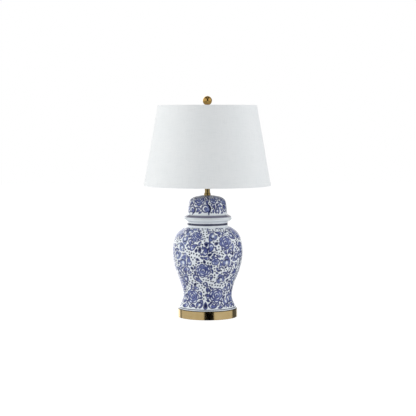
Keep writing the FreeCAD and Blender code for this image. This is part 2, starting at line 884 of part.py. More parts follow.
def make_socket_core():
    """The moulded core holds the switch stem and has a pocket on each side for a terminal screw."""
    core = cylinder(socket_core_radius, core_bottom, socket_core_height)
    stem_bore_radius = switch_stem_radius + running_clearance
    stem_bore_end = -switch_stem_inner + moving_gap
    core = core.cut(bar_along_y(stem_bore_radius, 0, switch_z, -socket_core_radius - PAST, stem_bore_end))
    middle_z = core_bottom + socket_core_height / 2
    screws = []
    for side in (1, -1):
        pocket = Part.makeBox(socket_pocket_depth + PAST, socket_core_radius, socket_pocket_height)
        pocket_x = side * (socket_core_radius + (PAST - socket_pocket_depth) / 2)
        pocket.translate(
            Vector(
                pocket_x - (socket_pocket_depth + PAST) / 2,
                -socket_core_radius / 2,
                middle_z - socket_pocket_height / 2,
            )
        )
        screw, hole = terminal_screw(side, middle_z)
        core = core.cut(pocket).cut(hole)
        screws.append(screw)
    save("socket_core", core)
    save("terminal_screws", Part.makeCompound(screws))


def make_screw_shell():
    screw_shell_top = core_top + screw_shell_height
    inner_wave = smooth(ring_thread(bulb_thread_radius + moving_gap, core_top, screw_shell_top))
    outer_bottom = at(screw_shell_radius, core_top)
    outer_top = at(screw_shell_radius, screw_shell_top)
    save("socket_screw_shell", spin([inner_wave, outer_top, outer_bottom]))


def make_contact():
    """The springy centre contact: a strip with two level feet and an arch that the bulb presses on."""
    arch_top = core_top + contact_rise
    arch_under = arch_top - contact_thickness
    foot_top = core_top + contact_thickness
    ramp_end = contact_arch_half + contact_ramp_run
    foot_end = ramp_end + contact_foot_length
    lean = contact_thickness / 2
    right_half = [
        (contact_arch_half, arch_top, small_round + contact_thickness),
        (ramp_end + lean, foot_top, small_round),
        (foot_end, foot_top),
        (foot_end, core_top),
        (ramp_end - lean, core_top, small_round + contact_thickness),
        (contact_arch_half - lean, arch_under, small_round),
    ]
    left_half = [(-corner[0],) + corner[1:] for corner in right_half[::-1]]
    leaf = closed_face(with_rounds(right_half + left_half)).extrude(Vector(0, contact_width, 0))
    leaf.translate(Vector(0, -contact_width / 2, 0))
    save("socket_contact", leaf)


def make_switch():
    """The stem turns in the core, and the fluted knob is fixed on its outer end."""
    knob_back = -(socket_shell_radius + knob_gap)
    stem_front = knob_back - knob_length + knob_face_wall
    save("switch_stem", bar_along_y(switch_stem_radius, 0, switch_z, stem_front, -switch_stem_inner))
    # The knob is made upright about Z and then laid down along -Y
    knob = turned(
        [
            (0, 0),
            (knob_radius - 2 * small_round, 0, small_round),
            (knob_radius, knob_skirt_height, small_round),
            (knob_radius - knob_taper, knob_length, 2 * small_round),
            (0, knob_length),
        ]
    )
    for flute in range(knob_flutes):
        angle = 2 * math.pi * flute / knob_flutes
        foot = Vector(knob_radius * math.cos(angle), knob_radius * math.sin(angle), knob_skirt_height)
        knob = knob.cut(Part.makeCylinder(knob_flute_radius, knob_length, foot))
    knob.rotate(Vector(0, 0, 0), Vector(1, 0, 0), 90)
    knob.translate(Vector(0, knob_back, switch_z))
    stem_hole = bar_along_y(
        switch_stem_radius + thread_clearance, 0, switch_z, stem_front - thread_clearance, PAST
    )
    save("switch_knob", knob.cut(stem_hole))


# ---------------------------------------------------------------- bulb

tip_bottom = core_top + contact_rise + moving_gap
insulator_bottom = tip_bottom + bulb_tip_height
bulb_cap_bottom = insulator_bottom + bulb_insulator_height
bulb_cap_top = bulb_cap_bottom + bulb_cap_height
housing_top = bulb_cap_top + bulb_housing_height
bulb_top = tip_bottom + bulb_length

# The bulb's housing widens by these shares of the radius and of the climb
housing_flare = [(0.09, 0.28), (0.55, 0.62)]
# and its globe goes on widening so far, so high on the way to its widest ring
globe_flare = [(0.62, 0.45)]


def make_bulb_base():
    """The centre contact, the insulator round it and the screw cap."""
    tip = turned(
        [
            (0, tip_bottom),
            (bulb_tip_radius, tip_bottom, small_round),
            (bulb_tip_radius, insulator_bottom),
            (0, insulator_bottom),
        ]
    )
    save("bulb_tip", tip)
    insulator = turned(
        [
            (0, insulator_bottom),
            (bulb_tip_radius + small_round, insulator_bottom),
            (bulb_cap_inner_radius, bulb_cap_bottom),
            (0, bulb_cap_bottom),
        ]
    )
    save("bulb_insulator", insulator)

    wave = ring_thread(bulb_thread_radius, bulb_cap_bottom, bulb_cap_top - bulb_plain_collar)
    cap = spin(
        [
            at(bulb_cap_inner_radius, bulb_cap_bottom),
            smooth(wave),
            at(wave[-1].x, bulb_cap_top),
            at(bulb_cap_inner_radius, bulb_cap_top),
        ]
    )
    save("bulb_screw_cap", cap)


def make_bulb_housing():
    neck_radius = bulb_cap_inner_radius - glue_gap
    flare_start = at(bulb_housing_neck_radius, bulb_cap_top + bulb_housing_step)
    flare_end = at(bulb_housing_top_radius, housing_top)
    flare = smooth([flare_start] + between(flare_start, flare_end, housing_flare) + [flare_end])
    housing = spin(
        [
            at(0, bulb_cap_bottom),
            at(neck_radius, bulb_cap_bottom),
            at(neck_radius, bulb_cap_top),
            at(bulb_housing_neck_radius, bulb_cap_top),
            flare,
            at(0, housing_top),
        ]
    )
    save("bulb_housing", housing)
    save("bulb_led_board", cylinder(bulb_board_radius, housing_top, bulb_board_thickness))


def make_bulb_globe():
    """A thin globe: it leaves the housing's rim, widens a little and closes in half a sphere."""
    middle_z = bulb_top - bulb_globe_radius
    widest = at(bulb_globe_radius, middle_z)
    rim = at(bulb_housing_top_radius, housing_top)
    rim_direction = Vector(bulb_globe_radius - bulb_housing_top_radius, 0, (middle_z - housing_top) / 2)
    side = smooth([rim] + between(rim, widest, globe_flare) + [widest], rim_direction, UP)

    def quarter(radius, start_up):
        """A quarter circle about the globe's middle, up from its side or down from its top."""
        eighth = math.sqrt(0.5) * radius
        level_end = at(radius, middle_z)
        top_end = at(0, middle_z + radius)
        ends = (level_end, top_end) if start_up else (top_end, level_end)
        return Part.Arc(ends[0], at(eighth, middle_z + eighth), ends[1])

    outer = quarter(bulb_globe_radius, True)
    inner = quarter(bulb_globe_radius - bulb_globe_wall, False)
    inner_rim = at(bulb_housing_top_radius - bulb_globe_wall, housing_top)
    save("bulb_globe", spin([side, outer, inner, inner_rim]))


# ---------------------------------------------------------------- shade

shade_slope = (shade_bottom_radius - shade_top_radius) / shade_height
slope_stretch = math.hypot(1, shade_slope)


def shade_outer_radius(z):
    return shade_top_radius + shade_slope * (shade_top - z)


def shade_layer(depth, thickness, bottom, top):
    """A tapered shell whose outer face lies at a depth inside the shade's outer face."""
    outer = depth * slope_stretch
    inner = (depth + thickness) * slope_stretch
    return turned(
        [
            (shade_outer_radius(bottom) - outer, bottom),
            (shade_outer_radius(top) - outer, top),
            (shade_outer_radius(top) - inner, top),
            (shade_outer_radius(bottom) - inner, bottom),
        ]
    )


liner_depth = shade_fabric_thickness + glue_gap
frame_depth = liner_depth + shade_liner_thickness + glue_gap + shade_wire_radius
top_ring_z = shade_top - hem_thickness - glue_gap - shade_wire_radius
bottom_ring_z = shade_bottom + hem_thickness + glue_gap + shade_wire_radius
top_ring_radius = shade_outer_radius(top_ring_z) - frame_depth * slope_stretch
bottom_ring_radius = shade_outer_radius(bottom_ring_z) - frame_depth * slope_stretch


def make_hem(name, ring_radius, edge_z, direction, openings):
    """The turned-in edge: it covers the lining's end and the wire, and runs back down inside."""
    lip_outer = shade_outer_radius(edge_z) - (shade_fabric_thickness + glue_gap) * slope_stretch
    if direction > 0:
        lip_outer -= shade_slope * hem_thickness
    band_outer = ring_radius - shade_wire_radius - glue_gap
    band_inner = band_outer - hem_thickness
    hem = turned(
        [
            (band_inner, edge_z),
            (lip_outer, edge_z),
            (lip_outer, edge_z + direction * hem_thickness),
            (band_outer, edge_z + direction * hem_thickness),
            (band_outer, edge_z + direction * hem_depth),
            (band_inner, edge_z + direction * hem_depth),
        ]
    )
    for opening in openings:
        hem = hem.cut(opening)
    save(name, hem)


def spoke(radius):
    """One spoke at azimuth 0: level from the washer, then up to the top ring."""
    level = shade_seat + spider_washer_thickness
    rise = math.radians(spoke_rise_angle)
    corner_x = top_ring_radius - (top_ring_z - level) / math.tan(rise)
    reach = spoke_bend_radius * math.tan(rise / 2)
    start = at(spider_washer_radius - spoke_overlap, level)
    corner = at(corner_x, level)
    bend_start = at(corner_x - reach, level)
    bend_end = corner + at(reach * math.cos(rise), reach * math.sin(rise))
    centre = at(corner_x - reach, level + spoke_bend_radius)
    bend_middle = centre + at(
        spoke_bend_radius * math.sin(rise / 2), -spoke_bend_radius * math.cos(rise / 2)
    )
    end = at(top_ring_radius, top_ring_z)
    return swept(
        [
            Part.LineSegment(start, bend_start),
            Part.Arc(bend_start, bend_middle, bend_end),
            Part.LineSegment(bend_end, end),
        ],
        radius,
    )


def make_shade_shell():
    save("shade_fabric", shade_layer(0, shade_fabric_thickness, shade_bottom, shade_top))
    liner_bottom = shade_bottom + hem_thickness + glue_gap
    liner_top = shade_top - hem_thickness - glue_gap
    save("shade_liner", shade_layer(liner_depth, shade_liner_thickness, liner_bottom, liner_top))


def make_shade_frame():
    """The wire rings, the spider that carries them on the harp, and the hems turned in over the rings."""
    top_ring = Part.makeTorus(top_ring_radius, shade_wire_radius, Vector(0, 0, top_ring_z))
    save("shade_top_ring", top_ring)
    bottom_ring = Part.makeTorus(bottom_ring_radius, shade_wire_radius, Vector(0, 0, bottom_ring_z))
    save("shade_bottom_ring", bottom_ring)

    spider = tube(
        spider_washer_radius, harp_stud_radius + slip_clearance, shade_seat, spider_washer_thickness
    )
    slits = []
    for number in range(spider_spokes):
        azimuth = 90 + 360 * number / spider_spokes
        arm = spoke(spoke_radius)
        slit = spoke(spoke_radius + slip_clearance)
        arm.rotate(Vector(0, 0, 0), UP, azimuth)
        slit.rotate(Vector(0, 0, 0), UP, azimuth)
        spider = spider.fuse(arm)
        slits.append(slit)
    save("shade_spider", spider.cut(top_ring))

    make_hem("shade_top_hem", top_ring_radius, shade_top, -1, slits)
    make_hem("shade_bottom_hem", bottom_ring_radius, shade_bottom, 1, [])


# ---------------------------------------------------------------- finial

# The cove under the ball narrows by this share of the radius at this share of its climb
finial_cove = [(0.82, 0.5)]


def make_finial_foot():
    """A turned foot with a blind threaded hole for the stud, and a spigot into the ball."""
    hole_top = stud_top + moving_gap
    hole_radius = harp_stud_radius + running_clearance
    foot_top = finial_bottom + finial_foot_height
    waist_z = (foot_top + ball_seat_z) / 2
    spigot_top = ball_seat_z + finial_spigot_height
    lower_edge = at(finial_foot_radius, finial_bottom)
    upper_edge = at(finial_foot_radius, foot_top)
    cove_start = at(finial_foot_radius - finial_ledge, foot_top)
    waist = at(finial_waist_radius, waist_z)
    cove_end = at(finial_seat_radius, ball_seat_z)
    cove = smooth([cove_start] + between(cove_start, waist, finial_cove) + [waist, cove_end])
    foot = spin(
        [
            at(hole_radius, finial_bottom),
            rounded_corner(at(0, finial_bottom), lower_edge, upper_edge, small_round),
            rounded_corner(lower_edge, upper_edge, at(0, foot_top), small_round),
            cove,
            at(finial_spigot_radius, ball_seat_z),
            at(finial_spigot_radius, spigot_top),
            at(0, spigot_top),
            at(0, hole_top),
            at(hole_radius, hole_top),
        ]
    )
    save("finial_foot", foot)


def make_finial_ball():
    bore = finial_spigot_radius + thread_clearance
    bore_top = ball_seat_z + finial_spigot_height + thread_clearance
    seat_edge = at(finial_seat_radius, ball_seat_z)
    ball = spin(
        [
            at(bore, ball_seat_z),
            seat_edge,
            Part.Arc(seat_edge, at(finial_ball_radius, ball_z), at(0, lamp_height)),
            at(0, bore_top),
            at(bore, bore_top),
        ]
    )
    save("finial_ball", ball)


for make in (
    make_drum,
    make_base_closure,
    make_ballast,
    make_washers,
    make_nut,
    make_bushing,
    make_jar,
    make_gaskets,
    make_lid,
    make_pipe,
    make_neck,
    make_saddle,
    make_harp,
    make_harp_post,
    make_sleeves,
    make_socket_cap,
    make_socket_shell,
    make_socket_core,
    make_screw_shell,
    make_contact,
    make_switch,
    make_bulb_base,
    make_bulb_housing,
    make_bulb_globe,
    make_shade_shell,
    make_shade_frame,
    make_finial_foot,
    make_finial_ball,
):
    make()

print("overall height", round(lamp_height, 2), "overall width", round(2 * shade_bottom_radius, 2))
print("shade from", round(shade_bottom, 2), "to", round(shade_top, 2))
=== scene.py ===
import json
import math

import bpy
import numpy as np
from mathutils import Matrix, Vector


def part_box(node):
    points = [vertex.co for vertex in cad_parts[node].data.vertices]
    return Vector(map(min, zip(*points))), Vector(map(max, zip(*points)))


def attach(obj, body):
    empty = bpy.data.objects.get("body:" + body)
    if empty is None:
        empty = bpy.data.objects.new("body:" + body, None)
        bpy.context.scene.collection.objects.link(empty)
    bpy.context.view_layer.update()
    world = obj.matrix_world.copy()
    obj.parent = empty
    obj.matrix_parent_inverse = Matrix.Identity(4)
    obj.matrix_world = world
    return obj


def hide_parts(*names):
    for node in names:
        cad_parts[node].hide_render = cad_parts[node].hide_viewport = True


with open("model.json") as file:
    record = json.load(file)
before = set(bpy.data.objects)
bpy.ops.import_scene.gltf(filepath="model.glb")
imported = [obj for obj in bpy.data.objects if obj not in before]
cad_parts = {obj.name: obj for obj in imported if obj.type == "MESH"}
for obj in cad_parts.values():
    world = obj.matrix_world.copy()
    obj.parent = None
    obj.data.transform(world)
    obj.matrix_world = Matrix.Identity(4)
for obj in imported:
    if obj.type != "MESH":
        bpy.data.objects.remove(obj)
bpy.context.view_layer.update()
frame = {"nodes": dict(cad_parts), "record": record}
nodes = frame["nodes"]

MM = 0.001
FRONT = -math.pi / 2  # the azimuth of the side that the photograph shows

# ---------------------------------------------------------------- camera

camera_data = bpy.data.cameras.new("camera")
camera_data.sensor_width = 36.0
camera_data.lens = 112.3
camera = bpy.data.objects.new("camera", camera_data)
camera.location = (0.0022, -4.4, 0.67)
aim = Vector((0.0022, 0.0, 0.3697))
camera.rotation_euler = (aim - camera.location).to_track_quat("-Z", "Y").to_euler()
bpy.context.scene.collection.objects.link(camera)
bpy.context.scene.camera = camera
bpy.context.scene.view_settings.view_transform = "Standard"

# ---------------------------------------------------------------- node helpers


def srgb(red, green, blue):
    """A colour given as it looks on screen, from 0 to 255, as the linear colour that nodes take."""

    def linear(value):
        value /= 255
        return value / 12.92 if value <= 0.04045 else ((value + 0.055) / 1.055) ** 2.4

    return (linear(red), linear(green), linear(blue), 1.0)


class Nodes:
    """Adds nodes to one material or world and joins them up."""

    def __init__(self, tree):
        self.tree = tree
        tree.nodes.clear()

    def add(self, kind, inputs=(), **settings):
        made = self.tree.nodes.new(kind)
        for name, value in settings.items():
            setattr(made, name, value)
        for name, value in dict(inputs).items():
            self.put(made, name, value)
        return made

    def put(self, made, name, value):
        if isinstance(value, bpy.types.NodeSocket):
            self.tree.links.new(value, made.inputs[name])
        else:
            made.inputs[name].default_value = value

    def maths(self, operation, first, second=0.0, third=0.0):
        return self.add("ShaderNodeMath", {0: first, 1: second, 2: third}, operation=operation).outputs[0]

    def place(self, stretch=(1.0, 1.0, 1.0)):
        """The point on the object, stretched along each axis."""
        source = self.add("ShaderNodeTexCoord").outputs["Object"]
        mapped = self.add("ShaderNodeMapping", {"Vector": source, "Scale": stretch})
        return mapped.outputs["Vector"]

    def noise(self, scale, detail=3.0, roughness=0.5, stretch=(1.0, 1.0, 1.0), distortion=0.0):
        inputs = {"Vector": self.place(stretch), "Scale": scale, "Detail": detail}
        inputs.update({"Roughness": roughness, "Distortion": distortion})
        return self.add("ShaderNodeTexNoise", inputs).outputs["Fac"]

    def height(self):
        """How high a point is on the object."""
        source = self.add("ShaderNodeTexCoord").outputs["Object"]
        return self.add("ShaderNodeSeparateXYZ", {0: source}).outputs[2]

    def ramp(self, value, low, high, low_out=0.0, high_out=1.0):
        inputs = {"Value": value, "From Min": low, "From Max": high, "To Min": low_out, "To Max": high_out}
        return self.add("ShaderNodeMapRange", inputs, interpolation_type="SMOOTHSTEP").outputs["Result"]

    def mix(self, share, first, second):
        """A colour between two others. A mix node keeps its colours on sockets 6 and 7."""
        return self.add("ShaderNodeMix", {0: share, 6: first, 7: second}, data_type="RGBA").outputs[2]

    def number(self, name):
        """A number painted on each point of the mesh."""
        return self.add("ShaderNodeAttribute", attribute_name=name, attribute_type="GEOMETRY").outputs["Fac"]

    def bump(self, height, distance, strength=1.0):
        inputs = {"Height": height, "Distance": distance, "Strength": strength}
        return self.add("ShaderNodeBump", inputs).outputs["Normal"]

    def finish(self, **inputs):
        """The surface shader, with each input by its name with _ for a space."""
        named = {name.replace("_", " "): value for name, value in inputs.items()}
        shader = self.add("ShaderNodeBsdfPrincipled", named)
        self.add("ShaderNodeOutputMaterial", {"Surface": shader.outputs[0]})


def new_material(name):
    material = bpy.data.materials.new(name)
    material.use_nodes = True
    return material, Nodes(material.node_tree)


# ---------------------------------------------------------------- light, floor and what the brass reflects

world = bpy.data.worlds.new("studio")
world.use_nodes = True
bpy.context.scene.world = world
n = Nodes(world.node_tree)
path = n.add("ShaderNodeLightPath")
seen = n.maths("MAXIMUM", path.outputs["Is Glossy Ray"], path.outputs["Is Transmission Ray"])
fill = n.add("ShaderNodeBackground", {"Color": (0.97, 0.985, 1.0, 1.0), "Strength": 0.62})
mirrored = n.add("ShaderNodeBackground", {"Color": (1.0, 0.99, 0.97, 1.0), "Strength": 0.82})
white = n.add("ShaderNodeBackground", {"Color": (1.0, 1.0, 1.0, 1.0), "Strength": 1.0})
first = n.add("ShaderNodeMixShader", {0: seen, 1: fill.outputs[0], 2: mirrored.outputs[0]})
second = n.add("ShaderNodeMixShader", {0: path.outputs["Is Camera Ray"], 1: first.outputs[0], 2: white.outputs[0]})
n.add("ShaderNodeOutputWorld", {"Surface": second.outputs[0]})


def add_mesh(name, points, faces):
    data = bpy.data.meshes.new(name)
    data.from_pydata([tuple(p) for p in points], [], faces)
    data.polygons.foreach_set("use_smooth", [True] * len(data.polygons))
    made = bpy.data.objects.new(name, data)
    bpy.context.scene.collection.objects.link(made)
    return made


FLOOR_HALF, FLOOR_Z = 9.0, -0.0001
floor = add_mesh(
    "floor",
    [(x * FLOOR_HALF, y * FLOOR_HALF, FLOOR_Z) for x, y in ((-1, -1), (1, -1), (1, 1), (-1, 1))],
    [(0, 1, 2, 3)],
)
floor_material, n = new_material("floor")
path = n.add("ShaderNodeLightPath")
grain = n.noise(3.0, 2.0)
tint = n.mix(grain, (0.34, 0.34, 0.34, 1.0), (0.36, 0.36, 0.36, 1.0))
seen_floor = n.add("ShaderNodeBsdfDiffuse", {"Color": tint})
lift = n.add("ShaderNodeEmission", {"Color": (1.0, 1.0, 1.0, 1.0), "Strength": 0.82})
lifted = n.add("ShaderNodeAddShader", {0: seen_floor.outputs[0], 1: lift.outputs[0]})
bounce = n.add("ShaderNodeBsdfDiffuse", {"Color": (0.8, 0.8, 0.8, 1.0)})
both = n.add("ShaderNodeMixShader", {0: path.outputs["Is Camera Ray"], 1: bounce.outputs[0], 2: lifted.outputs[0]})
n.add("ShaderNodeOutputMaterial", {"Surface": both.outputs[0]})
floor.data.materials.append(floor_material)
floor.visible_glossy = False


def card_material(name, tint, strength):
    material, n = new_material(name)
    glow = n.add("ShaderNodeEmission", {"Color": (*tint, 1.0), "Strength": strength})
    n.add("ShaderNodeOutputMaterial", {"Surface": glow.outputs[0]})
    return material


CARD_DISTANCE = 6.0
black_card, n = new_material("dark_card")
black = n.add("ShaderNodeBsdfDiffuse", {"Color": (0.0, 0.0, 0.0, 1.0)})
n.add("ShaderNodeOutputMaterial", {"Surface": black.outputs[0]})
brown_card = card_material("brown_card", (0.95, 1.0, 1.0), 0.13)
warm_card = card_material("warm_card", (1.0, 0.94, 0.84), 0.42)
bright_card = card_material("bright_card", (1.0, 1.0, 1.0), 2.0)


def studio_card(name, material, first_degrees, last_degrees, low, high):
    """A curved card of the studio, which shows only in reflections. Degrees run from the front to the right."""
    steps = 12
    points = []
    for k in range(steps + 1):
        azimuth = FRONT + math.radians(first_degrees + (last_degrees - first_degrees) * k / steps)
        for height in (low, high):
            points.append((CARD_DISTANCE * math.cos(azimuth), CARD_DISTANCE * math.sin(azimuth), height))
    card = add_mesh(name, points, [(2 * k, 2 * k + 2, 2 * k + 3, 2 * k + 1) for k in range(steps)])
    card.data.materials.append(material)
    card.visible_camera = False
    card.visible_diffuse = False
    card.visible_transmission = False
    card.visible_shadow = False


studio_card("card_front", black_card, -12.0, 25.5, -5.0, 6.0)
studio_card("card_right", brown_card, 112.0, 150.0, -5.0, 5.0)
studio_card("card_left", black_card, -124.0, -118.0, -5.0, 5.0)
studio_card("card_above", brown_card, -180.0, 180.0, 7.0, 40.0)
studio_card("card_below", warm_card, -180.0, 180.0, -40.0, -8.5)
studio_card("card_bright", bright_card, -178.0, -134.0, -4.0, 5.0)


def soft_light(name, place, size, power, tint):
    """A rectangle of light that looks at the lamp's middle and shows in no reflection."""
    data = bpy.data.lights.new(name, "AREA")
    data.shape = "RECTANGLE"
    data.size, data.size_y = size
    data.energy = power
    data.color = tint
    light = bpy.data.objects.new(name, data)
    light.location = place
    light.rotation_euler = (Vector((0, 0, 0.4)) - light.location).to_track_quat("-Z", "Y").to_euler()
    light.visible_glossy = False
    light.visible_camera = False
    bpy.context.scene.collection.objects.link(light)


soft_light("light_left", (-2.6, -0.3, 0.9), (1.8, 2.4), 33.0, (1.0, 1.0, 0.98))
soft_light("light_right", (2.6, -0.2, 0.9), (1.8, 2.4), 24.5, (0.98, 0.99, 1.0))
soft_light("light_front", (0.3, -3.4, 1.6), (1.6, 1.2), 10.5, (1.0, 1.0, 1.0))

# ---------------------------------------------------------------- outlines of the turned porcelain, in millimetres


def smooth_line(points, start, end, step):
    """Points every so often along a smooth curve through the given ones, with a direction at each end."""
    p = np.array(points, float)
    gaps = np.linalg.norm(np.diff(p, axis=0), axis=1)
    count = len(p)
    left = np.zeros((count, count))
    right = np.zeros((count, 2))
    left[0, 0] = left[-1, -1] = 1.0
    right[0] = np.array(start) / np.linalg.norm(start)
    right[-1] = np.array(end) / np.linalg.norm(end)
    for k in range(1, count - 1):
        left[k, k - 1] = gaps[k]
        left[k, k] = 2 * (gaps[k - 1] + gaps[k])
        left[k, k + 1] = gaps[k - 1]
        rise = gaps[k] * (p[k] - p[k - 1]) / gaps[k - 1] + gaps[k - 1] * (p[k + 1] - p[k]) / gaps[k]
        right[k] = 3 * rise
    slope = np.linalg.solve(left, right)
    fine = []
    for k in range(count - 1):
        t = np.linspace(0, 1, 40, endpoint=k == count - 2)[:, None]
        h = gaps[k]
        fine.append(
            (2 * t**3 - 3 * t**2 + 1) * p[k]
            + (t**3 - 2 * t**2 + t) * h * slope[k]
            + (3 * t**2 - 2 * t**3) * p[k + 1]
            + (t**3 - t**2) * h * slope[k + 1]
        )
    return resampled(np.concatenate(fine), step)


def resampled(line, step):
    """The line again, with its points evenly spaced."""
    line = np.array(line, float)
    along = np.concatenate([[0], np.cumsum(np.linalg.norm(np.diff(line, axis=0), axis=1))])
    at = np.linspace(0, along[-1], max(2, round(along[-1] / step) + 1))
    return np.stack([np.interp(at, along, line[:, 0]), np.interp(at, along, line[:, 1])], axis=1)


def between(start, end, shares):
    return [(start[0] + a * (end[0] - start[0]), start[1] + b * (end[1] - start[1])) for a, b in shares]


def corner(before, at, after, radius, steps=4):
    """The rounding of a corner, as points of its arc."""
    before, at, after = (np.array(p, float) for p in (before, at, after))
    back = (before - at) / np.linalg.norm(before - at)
    ahead = (after - at) / np.linalg.norm(after - at)
    half = math.acos(float(np.clip(back @ ahead, -1, 1))) / 2
    reach = min(radius / math.tan(half), 0.48 * min(np.linalg.norm(before - at), np.linalg.norm(after - at)))
    radius = reach * math.tan(half)
    middle = at + (back + ahead) / np.linalg.norm(back + ahead) * radius / math.sin(half)
    start, end = at + back * reach - middle, at + ahead * reach - middle
    turn = math.atan2(start[0] * end[1] - start[1] * end[0], float(start @ end))
    spots = []
    for k in range(steps + 1):
        c, s = math.cos(turn * k / steps), math.sin(turn * k / steps)
        spots.append((middle[0] + c * start[0] - s * start[1], middle[1] + s * start[0] + c * start[1]))
    return np.array(spots)


def joined(parts, shortest=0.05):
    """One line out of several, without points that lie on each other."""
    points = np.concatenate([np.array(p, float).reshape(-1, 2) for p in parts])
    kept = [points[0]]
    for p in points[1:]:
        if np.linalg.norm(p - kept[-1]) > shortest:
            kept.append(p)
    return np.array(kept)


def offset(line, wall):
    """The line moved inwards by the wall, for the inside of a turned shape."""
    run = np.gradient(line, axis=0)
    run /= np.linalg.norm(run, axis=1)[:, None]
    return line + wall * np.stack([-run[:, 1], run[:, 0]], axis=1)


ROUNDING = 1.4  # of the rims
JAR_WALL, LID_WALL = 5.0, 4.5
FOOT, FOOT_HOLLOW = 98.7, 86.7  # radii of the jar's foot, outside and inside
NECK, RIM, MOUTH = 69.5, 82.7, 62.5  # radii of the jar's neck, of its rim and of its mouth
JAR_HOLE, LID_HOLE = 7.5, 5.4  # radii of the holes for the pipe
FLANGE, SKIRT, SKIRT_HOLLOW = 82.0, 61.5, 56.5  # radii of the lid's flange, and of its skirt outside and inside

jar_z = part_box("jar_body")[0].z / MM
jar_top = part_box("jar_body")[1].z / MM
foot, waist, belly = (FOOT, jar_z + 1.8), (83.7, jar_z + 42.9), (120.2, jar_z + 192.4)
root, neck_corner, neck_top = (77.0, jar_z + 276.6), (NECK, jar_z + 279.675), (NECK, jar_z + 291.5)
lip = (RIM, jar_z + 303.4)
FOOT_TO_WAIST = [(0.30, 0.18), (0.51, 0.34), (0.74, 0.55), (0.93, 0.76)]
WAIST_TO_BELLY = [(0.05, 0.115), (0.19, 0.255), (0.355, 0.365), (0.635, 0.533), (0.80, 0.655), (0.93, 0.80)]
BELLY_TO_ROOT = [(0.046, 0.283), (0.176, 0.565), (0.338, 0.727), (0.52, 0.832), (0.70, 0.908), (0.86, 0.962)]
jar_curve = smooth_line(
    [foot, *between(foot, waist, FOOT_TO_WAIST), waist, *between(waist, belly, WAIST_TO_BELLY), belly]
    + [*between(belly, root, BELLY_TO_ROOT), root],
    (-0.45, 1.0),
    (-1.0, 0.41),
    1.55,
)
lip_curve = smooth_line(
    [neck_top, *between(neck_top, lip, [(0.08, 0.24), (0.477, 0.52), (0.87, 0.807)]), lip], (0, 1), (0, 1), 1.7
)
jar_inside = offset(jar_curve, JAR_WALL)
jar_inside = jar_inside[(jar_inside[:, 1] > jar_z + 16.0) & (jar_inside[:, 0] > 72.5)][::-9]
jar_outer = joined(
    [
        corner((FOOT_HOLLOW, jar_z), (FOOT, jar_z), foot, ROUNDING),
        jar_curve[1:-1],
        corner(root, neck_corner, neck_top, 6.0, 6),
        resampled([(NECK, jar_z + 283.9), neck_top], 1.3),
        lip_curve[1:],
        corner(lip, (RIM, jar_top), (MOUTH, jar_top), ROUNDING),
    ]
)
jar_inner = joined(
    [
        [(75.0, jar_top)],
        corner((RIM, jar_top), (MOUTH, jar_top), (MOUTH, jar_top - 20), ROUNDING),
        [(MOUTH, jar_top - 12), (MOUTH, jar_inside[0][1] + 2.5)],
        jar_inside,
        [(jar_inside[-1][0] - 2.0, jar_z + 11.6), (jar_inside[-1][0] - 6.0, jar_z + 11.0)],
        [(40.0, jar_z + 11.0), (JAR_HOLE, jar_z + 11.0), (JAR_HOLE, jar_z + 5.0), (50.0, jar_z + 5.0)],
        [(FOOT_HOLLOW, jar_z + 5.0), (FOOT_HOLLOW, jar_z), (92.0, jar_z)],
    ]
)

lid_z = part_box("lid_gasket")[1].z / MM
lid_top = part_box("jar_lid")[1].z / MM
crown, shoulder, side, flange = (14.0, lid_top), (61.2, lid_top - 18.0), (67.1, lid_z + 18.1), (FLANGE, lid_z + 2.4)
SIDE_TO_FLANGE = [(0.05, 0.22), (0.28, 0.44), (0.67, 0.66), (0.93, 0.85)]
CROWN_TO_SHOULDER = [(0.29, 0.09), (0.60, 0.24), (0.77, 0.43), (0.885, 0.63), (0.957, 0.82)]
SHOULDER_TO_SIDE = [(0.34, 0.17), (0.576, 0.333), (0.763, 0.583), (0.88, 0.833)]
cove = smooth_line([flange, *between(side, flange, SIDE_TO_FLANGE)[::-1], side], (0, 1), (0, 1), 1.3)
dome_points = [crown, *between(crown, shoulder, CROWN_TO_SHOULDER), shoulder]
dome_points += [*between(shoulder, side, SHOULDER_TO_SIDE), side]
dome = smooth_line(dome_points[::-1], (0, 1), (-1, 0), 1.4)
lid_inside = offset(dome, LID_WALL)
lid_inside = lid_inside[(lid_inside[:, 1] > lid_z + 19.0)][::-7]
lid_outer = joined(
    [
        corner((SKIRT, lid_z), (FLANGE, lid_z), flange, ROUNDING),
        cove[1:],
        dome[1:],
        resampled([crown, (LID_HOLE, lid_top)], 2.0),
    ]
)
lid_inner = joined(
    [
        [(LID_HOLE, lid_top - LID_WALL)],
        lid_inside,
        [(SKIRT_HOLLOW, lid_z + 5.0), (SKIRT_HOLLOW, lid_z - 4.0)],
        corner((SKIRT_HOLLOW, lid_z + 5), (SKIRT_HOLLOW, lid_z - 12), (SKIRT, lid_z - 12), ROUNDING, 3),
        corner((SKIRT_HOLLOW, lid_z - 12), (SKIRT, lid_z - 12), (SKIRT, lid_z), ROUNDING, 3),
        [(SKIRT, lid_z - 4.0), (SKIRT, lid_z), (72.0, lid_z)],
    ]
)


